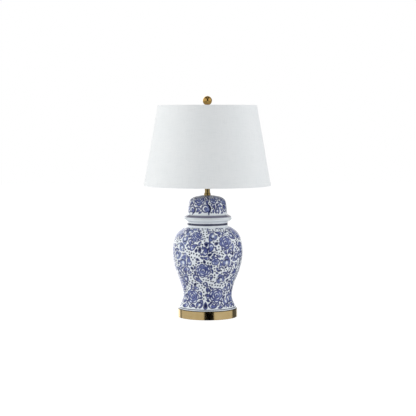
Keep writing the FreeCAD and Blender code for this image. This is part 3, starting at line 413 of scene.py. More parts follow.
def turned(name, outer, inner, columns):
    """A closed turned mesh. Its picture map gives nearly all its height to the outside."""
    rows = np.concatenate([outer, inner])
    angles = FRONT - math.pi + 2 * math.pi * np.arange(columns) / columns
    points = np.stack(
        [
            rows[:, :1] * np.cos(angles) * MM,
            rows[:, :1] * np.sin(angles) * MM,
            rows[:, 1:] * np.ones(columns) * MM,
        ],
        axis=2,
    )
    count = len(rows)
    row, column = (k.ravel() for k in np.meshgrid(np.arange(count), np.arange(columns), indexing="ij"))
    above, beside = (row + 1) % count, (column + 1) % columns
    faces = np.stack(
        [row * columns + column, row * columns + beside, above * columns + beside, above * columns + column], axis=1
    )
    made = add_mesh(name, points.reshape(-1, 3), faces.tolist())
    outer_run = np.cumsum(np.linalg.norm(np.diff(outer, axis=0), axis=1))
    rest = np.concatenate([outer[-1:], inner, outer[:1]])
    inner_run = np.cumsum(np.linalg.norm(np.diff(rest, axis=0), axis=1))
    outer_share, inner_share = 0.93, 0.06
    climb = np.concatenate(
        [[0], outer_run / outer_run[-1] * outer_share, outer_share + inner_run / inner_run[-1] * inner_share]
    )
    low, high = climb[row], climb[row + 1]
    left, right = column / columns, (column + 1) / columns
    spots = np.stack([left, low, right, low, right, high, left, high], axis=1) * 0.996 + 0.002
    layer = made.data.uv_layers.new(name="OFBake")
    layer.data.foreach_set("uv", spots.ravel())
    return made, points / MM


# ---------------------------------------------------------------- the painted pattern


def polar(radius, count=56):
    """A closed outline from its radius at each angle, which starts at the top and runs to the right."""
    angles = np.linspace(0, 2 * math.pi, count, endpoint=False)
    reach = radius(angles)
    return np.stack([reach * np.sin(angles), reach * np.cos(angles)], axis=1)


def scalloped(size, lobes, depth, start=0.0):
    return polar(lambda a: size * (1 - depth + depth * np.abs(np.cos(lobes * (a - start) / 2)) ** 0.7), 12 * lobes)


def drop(width, height, fullness):
    """A drop with its point at the top."""
    angles = np.linspace(0, 2 * math.pi, 44, endpoint=False)
    across = np.sin(angles) * np.abs(np.sin(angles / 2)) ** fullness
    across /= np.abs(across).max()
    return np.stack([across * width / 2, np.cos(angles) * height / 2], axis=1)


def heart(width, height):
    """A drop whose round end has a notch, as a peach or a heart does."""
    shape = drop(width, height, 0.75)
    low = np.clip(-shape[:, 1] / (height / 2), 0, 1) ** 3
    shape[:, 1] += low * np.exp(-((shape[:, 0] / (0.16 * width)) ** 2)) * 0.16 * height
    return shape


def ribbon(line, halves):
    """The outline of a brush stroke that widens and narrows along a line."""
    line = np.array(line, float)
    run = np.gradient(line, axis=0)
    run /= np.linalg.norm(run, axis=1)[:, None] + 1e-9
    aside = np.stack([-run[:, 1], run[:, 0]], axis=1) * np.array(halves)[:, None]
    return np.concatenate([line + aside, (line - aside)[::-1]])


def arc(size, first_degrees, last_degrees, count=14, middle=(0.0, 0.0)):
    """Points round a circle, in degrees from its top to the right."""
    angles = np.radians(np.linspace(first_degrees, last_degrees, count))
    return np.stack([middle[0] + size * np.sin(angles), middle[1] + size * np.cos(angles)], axis=1)


def crescent(size, first_degrees, last_degrees, thickness, middle=(0.0, 0.0)):
    line = arc(size, first_degrees, last_degrees, 14, middle)
    return ribbon(line, thickness / 2 * np.sin(np.linspace(0.12, math.pi - 0.12, 14)) ** 0.6)


def bent(length, bend, count=14):
    """A line from below to above that bends to one side by so many degrees."""
    turn = np.radians(bend) * (np.linspace(0, 1, count) - 0.5)
    step = length / (count - 1)
    line = np.concatenate([[[0, 0]], np.cumsum(np.stack([np.sin(turn), np.cos(turn)], axis=1)[1:] * step, axis=0)])
    return line - line.mean(axis=0)


def motif_of(outline, whites, inks, solids, tone):
    """What paints one motif: its outline, filled with wash, the shapes left white, the inked lines and solid ink."""
    return {"outline": outline, "white": whites, "ink": inks, "solid": solids, "tone": tone}


def peony(size, draw):
    lobes = int(draw.integers(7, 10))
    whites, inks = [], []
    for k in range(lobes):
        middle = 360 * k / lobes
        half = 360 / lobes * 0.30
        if draw.random() < 0.85:
            whites.append(crescent(0.82 * size, middle - half, middle + half, 0.115 * size))
        edge = math.radians(middle + 180 / lobes)
        spoke = np.array([math.sin(edge), math.cos(edge)])
        inks.append((np.array([spoke * 0.70 * size, spoke * 0.86 * size]), 0.65, False))
    inks.append((scalloped(0.66 * size, lobes - 2, 0.16, 0.3), 0.75, True))
    inks.append((scalloped(0.36 * size, 5, 0.18, 0.8), 0.75, True))
    for k in range(4):
        middle = 90 * k + 40
        if draw.random() < 0.8:
            whites.append(crescent(0.50 * size, middle - 26, middle + 26, 0.105 * size))
    whites.append(crescent(0.19 * size, -150, 60, 0.09 * size))
    solids = [polar(lambda a: 0.085 * size + 0 * a, 16)]
    return motif_of(scalloped(size, lobes, 0.15), whites, inks, solids, 0.62)


def bud(width, height):
    """A peach-shaped bud with its point up, dark inside above and left white below."""
    shape = heart(width, height)
    whites = [drop(0.30 * width, 0.30 * height, 0.4) + np.array([0.03 * width, -0.13 * height])]
    whites.append(crescent(0.40 * width, 130, 215, 0.09 * width, (0, -0.04 * height)))
    whites.append(crescent(0.40 * width, -75, -30, 0.08 * width, (0, -0.02 * height)))
    solids = [crescent(0.21 * width, -100, 80, 0.15 * width, (0, -0.02 * height))]
    return motif_of(shape, whites, [(shape * 0.70, 0.75, True)], solids, 0.4)


def ring_flower(size, draw):
    lobes = int(draw.integers(5, 7))
    outline = scalloped(size, lobes, 0.20)
    whites = [
        crescent(0.66 * size, 360 * k / lobes - 20, 360 * k / lobes + 20, 0.20 * size)
        for k in range(lobes)
        if draw.random() < 0.8
    ]
    inks = [(polar(lambda a: 0.36 * size + 0 * a, 24), 0.65, True)]
    solids = [polar(lambda a: 0.15 * size + 0 * a, 14)]
    return motif_of(outline, whites, inks, solids, 0.5)


def leaf(length, width, bend, draw):
    line = bent(length, bend)
    share = np.linspace(0, 1, len(line))
    halves = width / 2 * np.sin(math.pi * share**0.85) ** 0.8 + 0.15
    outline = ribbon(line, halves)
    inks = [(line[1:-2], 0.55, False)] if width > 6 else []
    whites = []
    if width > 6.5:
        shift = np.array([width * 0.25, 0])
        whites = [ribbon(line[3:10] + shift, 0.11 * width * np.sin(np.linspace(0.3, 2.8, 7)))]
    return motif_of(outline, whites, inks, [], float(draw.uniform(0.45, 0.95)))


def comma(size, bend, draw):
    """A round-headed stroke with a tail that curls."""
    line = bent(size * 1.7, bend, 18)
    share = np.linspace(0, 1, 18)
    halves = size * 0.42 * np.sqrt(np.clip(1 - (share / 0.38 - 1) ** 2, 0, 1)) * (share < 0.38)
    halves += size * 0.42 * (share >= 0.38) * np.clip(1 - (share - 0.38) / 0.62, 0, 1) ** 0.8 + 0.2
    outline = ribbon(line, halves)
    whites = [crescent(0.22 * size, 60, 300, 0.16 * size, line[6])]
    return motif_of(outline, whites, [], [], float(draw.uniform(0.6, 1.0)))


def swirl(size):
    """A round curl of the brush, dark on its outer side, with a white curl inside it."""
    angles = np.radians(np.linspace(-30, 330, 26))
    reach = size * np.linspace(0.62, 1.0, 26)
    line = np.stack([reach * np.sin(angles), reach * np.cos(angles)], axis=1)
    outline = np.concatenate([line, [[-0.25 * size, 1.45 * size]]])
    whites = [crescent(0.42 * size, 20, 250, 0.24 * size), crescent(0.76 * size, 150, 215, 0.10 * size)]
    solids = [crescent(0.83 * size, 215, 335, 0.30 * size)]
    inks = [(arc(0.60 * size, 0, 280), 0.7, False), (arc(0.20 * size, 0, 300), 0.8, False)]
    return motif_of(outline, whites, inks, solids, 0.75)


def dark_bud(width, height):
    outline = drop(width, height, 0.85)
    whites = [crescent(0.22 * width, 100, 250, 0.13 * width, (0, -0.12 * height))]
    return motif_of(outline, whites, [], [outline * 0.62], 1.0)


def scaled(motif, share):
    made = dict(motif)
    for name in ("white", "solid"):
        made[name] = [shape * share for shape in motif[name]]
    made["ink"] = [(line * share, half, closed) for line, half, closed in motif["ink"]]
    made["outline"] = motif["outline"] * share
    return made


def edge_distance(points, line, closed):
    """How far each point is from a line."""
    first = line if closed else line[:-1]
    last = np.roll(line, -1, axis=0) if closed else line[1:]
    run = last - first
    away = points[:, None, :] - first[None]
    share = np.clip((away * run).sum(2) / np.maximum((run * run).sum(1), 1e-9), 0, 1)
    return np.sqrt(((away - share[..., None] * run) ** 2).sum(2).min(1))


def signed_distance(points, outline):
    """How far each point is from an outline, less than nothing inside it."""
    first, last = outline, np.roll(outline, -1, axis=0)
    x, y = points[:, :1], points[:, 1:]
    crosses = (first[:, 1] > y) != (last[:, 1] > y)
    rise = np.where(np.abs(last[:, 1] - first[:, 1]) < 1e-9, 1e-9, last[:, 1] - first[:, 1])
    where = first[:, 0] + (y - first[:, 1]) * (last[:, 0] - first[:, 0]) / rise
    inside = (crosses & (x < where)).sum(1) % 2 == 1
    return edge_distance(points, outline, True) * np.where(inside, -1.0, 1.0)


ROOM_NEEDED = 0.42  # how much of a motif's shorter half has to be free before it is tried at a spot


class Painting:
    """What the brush puts on a turned surface, as distances at each of its points, in millimetres."""

    FAR = 30.0  # as good as nowhere near

    def __init__(self, points, low, high):
        self.points = points
        self.rows = np.stack([np.hypot(points[:, 0, 0], points[:, 0, 1]), points[:, 0, 2]], axis=1)
        self.angles = np.arctan2(points[0, :, 1], points[0, :, 0])
        shape = points.shape[:2]
        self.wash = np.full(shape, self.FAR)
        self.white = np.full(shape, self.FAR)
        self.ink = np.full(shape, self.FAR)
        self.flange_paint_and_shade = np.full(shape, self.FAR)
        self.tone = np.zeros(shape)
        run = np.gradient(self.rows, axis=0)
        self.run = run / np.linalg.norm(run, axis=1)[:, None]
        along = np.concatenate([[0], np.cumsum(np.linalg.norm(np.diff(self.rows, axis=0), axis=1))])
        border = np.minimum(along - along[low], along[high] - along)
        self.room = np.repeat(border[:, None], shape[1], axis=1)
        self.low, self.high = low, high

    def across(self, row, column):
        """The directions to the right and up that the surface has at a spot."""
        angle = self.angles[column]
        right = np.array([-math.sin(angle), math.cos(angle), 0])
        up = np.array([self.run[row, 0] * math.cos(angle), self.run[row, 0] * math.sin(angle), self.run[row, 1]])
        return right, up

    def near(self, where, reach):
        """The rows near a spot, which of their points are near it, and their places on paper laid on it there."""
        row, column = where
        rows = np.nonzero((np.abs(self.rows - self.rows[row]) < reach).all(1))[0]
        rows = rows[(rows >= self.low - 3) & (rows <= self.high + 3)]
        away = self.points[rows] - self.points[row, column]
        mask = (away**2).sum(2) < reach**2
        right, up = self.across(row, column)
        away = away[mask]
        return rows, mask, np.stack([away @ right, away @ up], axis=1)

    def spot_of(self, where, shape, turn):
        """The rows and columns that the points of a shape fall on."""
        right, up = self.across(*where)
        shape = turned_by(shape, turn)
        spots = self.points[where] + shape[:, :1] * right + shape[:, 1:] * up
        radius = np.hypot(spots[:, 0], spots[:, 1])
        columns = len(self.angles)
        azimuth = np.arctan2(spots[:, 1], spots[:, 0]) - self.angles[0]
        column = np.round(azimuth / (2 * math.pi) * columns).astype(int) % columns
        away = (self.rows[:, :1] - radius) ** 2 + (self.rows[:, 1:] - spots[:, 2]) ** 2
        return np.argmin(away, axis=0), column

    def lower(self, field, rows, mask, value):
        part = field[rows]
        part[mask] = np.minimum(part[mask], value)
        field[rows] = part

    def paint(self, where, turn, motif):
        """One motif: where it covers an earlier wash deeper inside, its tone holds."""
        reach = np.linalg.norm(motif["outline"], axis=1).max() + 9
        rows, mask, paper = self.near(where, reach)
        paper = turned_by(paper, -turn)
        edge = signed_distance(paper, motif["outline"])
        wash, tone = self.wash[rows], self.tone[rows]
        tone[mask] = np.where(edge < wash[mask], motif["tone"], tone[mask])
        self.tone[rows] = tone
        self.lower(self.wash, rows, mask, edge)
        self.lower(self.room, rows, mask, edge)
        for shape in motif["white"]:
            self.lower(self.white, rows, mask, signed_distance(paper, shape))
        for shape in motif["solid"]:
            self.lower(self.ink, rows, mask, signed_distance(paper, shape))
        for line, half, closed in motif["ink"]:
            self.lower(self.ink, rows, mask, edge_distance(paper, line, closed) - half)

    def fits(self, where, turn, outline, gap, field=None):
        """The mean room round an outline, or nothing where it comes nearer to another than the gap."""
        row, column = self.spot_of(where, outline[::2], turn)
        room = self.room[row, column]
        if room.min() < gap:
            return None
        if field is not None and field[row, column].min() < 0:
            return None
        return room.mean()

    def fill(self, make, sizes, gap, tries, draw, field, most):
        """Puts in motifs of one kind, up to so many of a size, each where it fits tightest."""
        for size in sizes:
            for _ in range(most):
                motif = make(size)
                room = self.room if field is None else np.minimum(self.room, field)
                short = np.abs(motif["outline"]).max(0).min()
                free = np.argwhere(room > short * ROOM_NEEDED * 2 + gap)
                if len(free) == 0:
                    break
                best = None
                for pick in draw.integers(0, len(free), tries):
                    where = tuple(free[pick])
                    turn = draw.uniform(0, 2 * math.pi)
                    score = self.fits(where, turn, motif["outline"], gap, field)
                    if score is not None and (best is None or score < best[0]):
                        best = (score, where, turn)
                if best is None:
                    break
                self.paint(best[1], best[2], motif)

    def dots(self, spacing, size, gap, draw):
        """Dots in what is left of the ground, as close together as their spacing lets them be."""
        apart = np.full(self.room.shape, self.FAR)
        order = draw.random(self.room.shape) * 1.2
        while True:
            open_spots = (self.room > gap) & (apart > spacing)
            if not open_spots.any():
                break
            score = np.where(open_spots, apart + order, 1e9)
            where = np.unravel_index(np.argmin(score), score.shape)
            rows, mask, paper = self.near(where, 22.0)
            stretch = draw.uniform(0.88, 1.14)
            reach = np.hypot(paper[:, 0] * stretch, paper[:, 1] / stretch)
            self.lower(apart, rows, mask, reach)
            self.lower(self.ink, rows, mask, reach - size * draw.uniform(0.88, 1.12))

    def string(self, start, end, spacing, size, draw):
        """A row of dots from one spot to another, with clear ground on both sides."""
        first, last = self.points[self.at(*start)], self.points[self.at(*end)]
        count = max(1, round(float(np.linalg.norm(last - first)) / spacing))
        for k in range(count + 1):
            share = k / count
            degrees = start[0] + (end[0] - start[0]) * share + draw.uniform(-0.7, 0.7)
            where = self.at(degrees, start[1] + (end[1] - start[1]) * share + draw.uniform(-0.8, 0.8))
            rows, mask, paper = self.near(where, 14.0)
            stretch = draw.uniform(0.85, 1.15)
            reach = np.hypot(paper[:, 0] * stretch, paper[:, 1] / stretch)
            self.lower(self.ink, rows, mask, reach - size * draw.uniform(0.9, 1.15))
            self.lower(self.room, rows, mask, reach - size - 1.7)

    def cells(self, seeds, half_width):
        """How far each point is inside the patch round its seed, less than nothing in the paths between patches."""
        flat = self.points.reshape(-1, 3)
        seeds = np.array(seeds)
        away = ((flat[:, None, :] - seeds[None]) ** 2).sum(2)
        order = np.argsort(away, axis=1)[:, :2]
        nearest = np.take_along_axis(away, order, axis=1)
        gap = np.linalg.norm(seeds[order[:, 0]] - seeds[order[:, 1]], axis=1)
        inside = (nearest[:, 1] - nearest[:, 0]) / (2 * gap) - half_width
        return inside.reshape(self.room.shape)

    def at(self, degrees, height):
        """The row and column at so many degrees to the right of the front, and at a height."""
        rows = np.arange(self.low, self.high + 1)
        row = rows[np.argmin(np.abs(self.rows[rows, 1] - height))]
        turn = (FRONT + math.radians(degrees) - self.angles + math.pi) % (2 * math.pi) - math.pi
        return int(row), int(np.argmin(np.abs(turn)))

    def write(self, mesh_object, count):
        """Hands the distances over to the mesh, for the glaze to draw from."""
        fields = {"flange_paint_and_shade_edge": self.flange_paint_and_shade, "wash_edge": self.wash, "white_edge": self.white}
        fields.update({"ink_edge": self.ink, "wash_tone": self.tone})
        for name, field in fields.items():
            values = np.full(count, self.FAR if name != "wash_tone" else 0.0)
            values[: field.size] = np.clip(field, -6.0, self.FAR).ravel()
            attribute = mesh_object.data.attributes.new(name, "FLOAT", "POINT")
            attribute.data.foreach_set("value", values.astype(np.float32))


def turned_by(points, turn):
    c, s = math.cos(turn), math.sin(turn)
    return points @ np.array([[c, -s], [s, c]])


def spread_seeds(painting, fixed, count, draw):
    """Seeds of patches, spread evenly over the surface, the first of them where they are told to be."""
    rows = np.arange(painting.low, painting.high + 1)
    flat = painting.points[rows][:, ::4].reshape(-1, 3)
    weight = np.hypot(flat[:, 0], flat[:, 1])
    seeds = [painting.points[painting.at(*spot)] for spot in fixed]
    while len(seeds) < count:
        picks = flat[draw.choice(len(flat), 40, p=weight / weight.sum())]
        away = ((picks[:, None] - np.array(seeds)[None]) ** 2).sum(2).min(1)
        seeds.append(picks[np.argmax(away)])
    seeds = np.array(seeds)
    for _ in range(6):
        nearest = np.argmin(((flat[:, None] - seeds[None]) ** 2).sum(2), axis=1)
        for k in range(len(fixed), count):
            mine = flat[nearest == k]
            if len(mine):
                middle = np.average(mine, axis=0, weights=weight[nearest == k])
                seeds[k] = flat[np.argmin(((flat - middle) ** 2).sum(1))]
    return seeds


def leaves(slimness, bend, draw):
    return lambda size: leaf(size, size * slimness, draw.uniform(-bend, bend), draw)


def commas(draw):
    return lambda size: comma(size, draw.choice([-1, 1]) * draw.uniform(60, 150), draw)


# Places are degrees to the right of the front, and heights in millimetres.
PATCHES = [(-20, 282), (32, 262), (-7, 168), (22, 82), (-36, 78), (-62, 232), (64, 165), (-66, 118), (72, 72)]
PATCH_COUNT, FRONT_PATCH, FRONT_PEONY = 34, 2, 28.0
DOT_ROWS = [
    ((-9, 302), (-4, 268)), ((6, 302), (38, 300)), ((-34, 232), (-14, 219)), ((-29, 222), (-24, 206)),
    ((12, 231), (27, 222)), ((20, 166), (40, 172)), ((-8, 136), (12, 130)), ((-36, 150), (-30, 132)),
    ((-20, 122), (-8, 92)), ((4, 120), (34, 113)),
    ((48, 262), (58, 236)), ((60, 196), (66, 150)), ((-62, 270), (-58, 244)), ((-64, 206), (-58, 180)),
    ((100, 250), (118, 214)), ((128, 150), (112, 110)), ((150, 240), (176, 228)), ((190, 150), (205, 110)),
    ((215, 240), (232, 262)), ((250, 190), (236, 150)), ((262, 110), (280, 90)), ((80, 110), (92, 76)),
]
# With each place, its turn in radians, its width and its height.
BUDS = [
    (-43, 198, 0.15, 29, 39), (33, 199, 0.0, 31, 41), (25, 139, -0.35, 30, 38), (-44, 141, 0.5, 24, 36),
    (67, 222, 0.2, 22, 32), (-3, 120, 2.6, 15, 22), (52, 108, -0.3, 22, 34), (-70, 175, 0.2, 22, 30),
]
DARK_BUDS = [
    (-12, 239, 0.1, 11, 21), (-2, 256, 2.9, 13, 17), (-4, 47, 0.0, 14, 26), (45, 226, 0.4, 9, 17),
    (4, 222, 1.2, 9, 15), (-25, 120, 0.7, 9, 16),
]
DOT = 2.75


def paint_jar(points, low, high):
    draw = np.random.default_rng(20)
    art = Painting(points, low, high)
    seeds = spread_seeds(art, PATCHES, PATCH_COUNT, draw)
    inside = art.cells(seeds, 2.4)
    for start, end in DOT_ROWS:
        art.string(start, end, 9.0, DOT, draw)
    for make, places in ((bud, BUDS), (dark_bud, DARK_BUDS)):
        for degrees, height, turn, width, tall in places:
            art.paint(art.at(degrees, height), turn, make(width, tall))
    art.paint(art.at(13, 200), 0.2, ring_flower(14.5, draw))
    art.paint(art.at(19, 171), -0.9, leaf(21, 11, 10, draw))
    for k, seed in enumerate(seeds):
        size = float(draw.uniform(24, 30)) if k != FRONT_PATCH else FRONT_PEONY
        away = ((art.points - seed) ** 2).sum(2)
        where = np.unravel_index(np.argmin(away), away.shape)
        motif = peony(size, draw)
        turn = draw.uniform(0, 6.28)
        for shrink in (1.0, 0.9, 0.8, 0.7, 0.6, 0.5):
            smaller = scaled(motif, shrink)
            if art.fits(where, turn, smaller["outline"], 1.0) is not None:
                art.paint(where, turn, smaller)
                break
    art.fill(lambda size: bud(size, size * 1.35), [27, 24], 2.6, 40, draw, None, 16)
    art.fill(commas(draw), [24, 20, 16, 13], 0.8, 26, draw, inside, 40)
    art.fill(lambda size: ring_flower(size, draw), [14, 12, 9.5], 0.8, 24, draw, inside, 22)
    art.fill(leaves(0.46, 50, draw), [28, 23, 18], 0.8, 26, draw, inside, 70)
    art.fill(leaves(0.50, 40, draw), [13, 11, 9], 0.7, 24, draw, inside, 150)
    art.fill(lambda size: dark_bud(size, size * 1.6), [10, 8.5], 2.2, 20, draw, None, 34)
    art.dots(9.4, DOT, 4.3, draw)
    # the wash tone is lighter high on the left of the front
    aside = np.degrees((art.angles - FRONT + math.pi) % (2 * math.pi) - math.pi)[None]
    height = art.rows[:, 1:]
    art.tone -= 0.42 * np.exp(-(((aside + 46) / 30) ** 2) - ((height - 246) / 72) ** 2)
    neck_ring = np.abs(height - 317.0) - 3.5
    foot_line = np.abs(height - (jar_z + 4.4)) - 1.1
    art.ink = np.minimum(art.ink, np.minimum(neck_ring, foot_line))
    return art


def paint_lid(points, low, high):
    draw = np.random.default_rng(11)
    art = Painting(points, low, high)
    art.paint(art.at(-5, 371), 2.9, swirl(19))
    art.paint(art.at(31, 367), 0.1, bud(18, 27))
    art.paint(art.at(-50, 368), math.pi + 0.2, swirl(16))
    art.paint(art.at(62, 370), 0.5, swirl(15))
    art.paint(art.at(20, 399), 0.4, ring_flower(12, draw))
    art.paint(art.at(-27, 401), 1.2, peony(21, draw))
    art.paint(art.at(64, 397), 0.6, peony(19, draw))
    for k, degrees in enumerate(range(94, 300, 40)):
        motif = swirl(16) if k % 2 else bud(21, 31)
        art.paint(art.at(degrees, 369), draw.uniform(-0.4, 0.4), motif)
    for degrees in range(108, 330, 56):
        art.paint(art.at(degrees, 400), 0.5 * degrees, peony(19, draw))
    art.fill(commas(draw), [18, 14], 1.1, 24, draw, None, 12)
    art.fill(leaves(0.46, 50, draw), [22, 17, 13], 1.1, 26, draw, None, 30)
    art.fill(leaves(0.50, 40, draw), [10, 8], 1.0, 24, draw, None, 30)
    art.dots(8.8, 2.5, 3.9, draw)
    radius, height = art.rows[:, :1], art.rows[:, 1:]
    # the flange's rim and the cove above it: a grey-violet band in the glaze, with painted shade of the cove in it
    flange_paint_and_shade = np.where(radius > 66, np.maximum(height - (lid_z + 12.0), lid_z + 4.2 - height), art.FAR)
    art.flange_paint_and_shade = flange_paint_and_shade * np.ones(art.ink.shape[1])
    return art


def row_at(outer, height):
    return int(np.argmin(np.abs(outer[:, 1] - height)))


def finish_porcelain(piece, node, art):
    art.write(piece, len(piece.data.vertices))
    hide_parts(node)
    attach(piece, "lamp")


jar, jar_points = turned("jar_porcelain", jar_outer, jar_inner, 440)
low = row_at(jar_outer, jar_z + 6.8)
high = row_at(jar_outer[:-12], 307.6)  # the last rows are the rim, whose inside is as high again
finish_porcelain(jar, "jar_body", paint_jar(jar_points[: len(jar_outer)], low, high))

lid, lid_points = turned("lid_porcelain", lid_outer, lid_inner, 340)
low, high = row_at(lid_outer, lid_z + 17.0), len(lid_outer) - 5
finish_porcelain(lid, "jar_lid", paint_lid(lid_points[: len(lid_outer)], low, high))

# ---------------------------------------------------------------- glaze


def glaze_material():
    """White glaze, with blue wash, reserved whites and dark ink where the painting's distances put them."""
    material, n = new_material("painted_glaze")
    wobble = n.maths("MULTIPLY", n.maths("SUBTRACT", n.noise(260, 2.0), 0.5), 0.9)
    tremble = n.maths("MULTIPLY", n.maths("SUBTRACT", n.noise(900, 1.0), 0.5), 0.35)
    shake = n.maths("ADD", wobble, tremble)
    wash = n.maths("ADD", n.number("wash_edge"), shake)
    white = n.maths("ADD", n.number("white_edge"), shake)
    ink = n.maths("ADD", n.number("ink_edge"), shake)
    tone = n.number("wash_tone")
    cloud = n.noise(55, 3.0, 0.55)
    streak = n.noise(210, 3.0, 0.6)

    ground = n.mix(cloud, srgb(230, 237, 243), srgb(243, 247, 250))
    pooled = n.ramp(wash, -4.2, -0.8, 0.0, 0.34)
    depth = n.maths("MULTIPLY_ADD", tone, 0.66, pooled)
    depth = n.maths("MULTIPLY_ADD", n.maths("SUBTRACT", cloud, 0.5), 1.5, depth)
    depth = n.maths("MULTIPLY_ADD", n.maths("SUBTRACT", streak, 0.5), 0.5, depth)
    shade = n.add("ShaderNodeValToRGB", {"Fac": depth})
    stops = shade.color_ramp.elements
    stops[0].color, stops[1].color = srgb(156, 170, 210), srgb(40, 44, 98)
    stops.new(0.45).color = srgb(98, 108, 164)

    in_wash = n.ramp(wash, 0.28, -0.28)
    in_white = n.ramp(white, 0.3, -0.3, 0.0, 0.92)
    line = n.ramp(n.maths("ABSOLUTE", wash), 1.15, 0.55)
    in_ink = n.ramp(ink, 0.3, -0.3)
    halo = n.ramp(n.maths("ABSOLUTE", ink), 1.6, 0.1, 0.0, 0.22)
    colour = n.mix(in_wash, ground, shade.outputs["Color"])
    colour = n.mix(halo, colour, srgb(124, 136, 186))
    colour = n.mix(in_white, colour, ground)
    line_ink = n.mix(streak, srgb(36, 40, 82), srgb(66, 74, 128))
    line = n.maths("MULTIPLY", line, n.ramp(streak, 0.25, 0.6, 0.55, 0.92))
    line = n.maths("MULTIPLY", line, n.ramp(tone, -0.1, 0.45, 0.55, 1.0))
    colour = n.mix(line, colour, line_ink)
    # the grey-violet band on the lid's flange: the glaze's own band, and painted shade in the cove above it
    flange_paint_and_shade = n.ramp(n.maths("ADD", n.number("flange_paint_and_shade_edge"), wobble), 3.0, -3.2)
    colour = n.mix(n.maths("MULTIPLY", flange_paint_and_shade, 0.9), colour, n.mix(streak, srgb(66, 62, 92), srgb(94, 90, 122)))
    dot_ink = n.mix(streak, srgb(12, 14, 42), srgb(32, 36, 78))
    colour = n.mix(n.maths("MULTIPLY", in_ink, 0.96), colour, dot_ink)
    rough = n.ramp(n.noise(35, 3.0), 0.2, 0.8, 0.07, 0.13)
    skin = n.bump(n.maths("ADD", n.noise(40, 2.0), n.maths("MULTIPLY", n.noise(420, 1.0), 0.06)), 0.0006, 0.35)
    n.finish(Base_Color=colour, Roughness=rough, IOR=1.5, Normal=skin)
    return material


glaze = glaze_material()
jar.data.materials.append(glaze)
lid.data.materials.append(glaze)

# ---------------------------------------------------------------- metals


def brushed_metal(name, light, dark, roughness, turned_round=True, lines=34.0, painted_shade_heights=()):
    """Metal with fine brushed lines and clouds of tarnish, and a brown band of painted shade and dark reflection
    between two given heights, in metres.
    """
    material, n = new_material(name)
    stretch = (1.0, 1.0, lines) if turned_round else (lines, lines, 1.0)
    brushed = n.noise(42, 4.0, 0.6, stretch)
    cloud = n.noise(26, 3.0, 0.5)
    specks = n.noise(700, 2.0)
    share = n.maths("MULTIPLY_ADD", brushed, 0.5, n.maths("MULTIPLY", cloud, 0.5))
    colour = n.mix(n.ramp(share, 0.3, 0.7), srgb(*dark), srgb(*light))
    rough = n.ramp(n.maths("MULTIPLY_ADD", specks, 0.3, brushed), 0.3, 1.0, roughness - 0.04, roughness + 0.04)
    normal = n.bump(brushed, 0.02 * MM, 0.1)
    # painted shade and dark reflection: a brown band between the two given heights, where another part sits on the
    # metal
    if painted_shade_heights:
        painted_shade = n.ramp(n.height(), painted_shade_heights[0], painted_shade_heights[1])
        painted_shade = n.maths("MULTIPLY", painted_shade, n.ramp(cloud, 0.2, 0.6, 0.75, 1.0))
        colour = n.mix(painted_shade, colour, srgb(62, 44, 22))
    n.finish(Base_Color=colour, Metallic=1.0, Roughness=rough, Normal=normal)
    return material


def plain_material(name, light, dark, roughness, scale, bump, bump_scale, metallic=0.0, stretch=(1, 1, 1)):
    """A surface with clouds of two tones and a fine grain."""
    material, n = new_material(name)
    cloud = n.noise(scale, 4.0, 0.6, stretch)
    grain = n.noise(bump_scale, 3.0, 0.6, stretch)
    colour = n.mix(n.ramp(cloud, 0.3, 0.7), srgb(*dark), srgb(*light))
    rough = n.ramp(grain, 0.2, 0.8, roughness - 0.06, roughness + 0.06)
    n.finish(Base_Color=colour, Metallic=metallic, Roughness=rough, Normal=n.bump(grain, bump, 0.6))
    return material


def felt_material():
    material, n = new_material("green_black_felt")
    fibre = n.noise(900, 4.0, 0.7, (1.0, 0.35, 1.0), 1.2)
    cloud = n.noise(60, 3.0)
    colour = n.mix(fibre, srgb(30, 33, 31), srgb(62, 66, 62))
    colour = n.mix(n.maths("MULTIPLY", cloud, 0.4), colour, srgb(44, 47, 44))
    n.finish(
        Base_Color=colour, Roughness=0.95, Sheen_Weight=0.3, Sheen_Roughness=0.5, Normal=n.bump(fibre, 0.0004, 0.8)
    )
    return material


# Light and dark tone, roughness, and for wire whether its lines run round and how fine they are.
METALS = {
    "satin_brass": ((206, 184, 138), (190, 165, 114), 0.15),
    # painted shade: the neck's brass is a darker copy of the satin brass, for the lampshade's shadow and dark inside
    # that it sits under and reflects
    "shaded_neck_brass": ((166, 146, 100), (140, 120, 76), 0.17),
    "ball_brass": ((216, 180, 110), (194, 152, 80), 0.11),
    "harp_brass": ((214, 190, 132), (190, 160, 100), 0.28, False, 6.0),
    "socket_brass": ((226, 200, 136), (206, 174, 106), 0.2),
    "contact_metal": ((212, 196, 150), (184, 160, 110), 0.3),
    "zinc_steel": ((206, 206, 202), (170, 172, 170), 0.34),
    "thin_aluminium": ((222, 222, 222), (198, 200, 202), 0.32),
}
# Light and dark tone, roughness, how fine the clouds are, depth of the grain in metres and how fine it is.
PLAIN = {
    "cast_ballast": ((62, 61, 60), (36, 35, 35), 0.62, 160, 0.0006, 700, 0.6),
    "board": ((190, 166, 128), (160, 136, 100), 0.85, 220, 0.0002, 900, 0.0, (1.0, 0.3, 1.0)),
    "black_moulding": ((34, 34, 36), (18, 18, 20), 0.42, 240, 0.00006, 1500),
    "dark_gasket": ((36, 34, 32), (20, 19, 18), 0.75, 240, 0.00008, 1300),
    "clear_gasket": ((214, 214, 208), (190, 190, 184), 0.5, 200, 0.00005, 1100),
    "paper_lining": ((226, 212, 178), (196, 178, 140), 0.85, 300, 0.0001, 1300),
    "shade_lining": ((238, 238, 235), (230, 231, 229), 0.55, 40, 0.00004, 900),
    "white_wire": ((232, 232, 230), (214, 214, 212), 0.38, 180, 0.00006, 1200),
    "frosted_globe": ((244, 243, 238), (232, 231, 227), 0.48, 90, 0.00003, 1600),
    "bulb_white": ((238, 238, 235), (224, 224, 221), 0.4, 110, 0.00004, 1300),
}
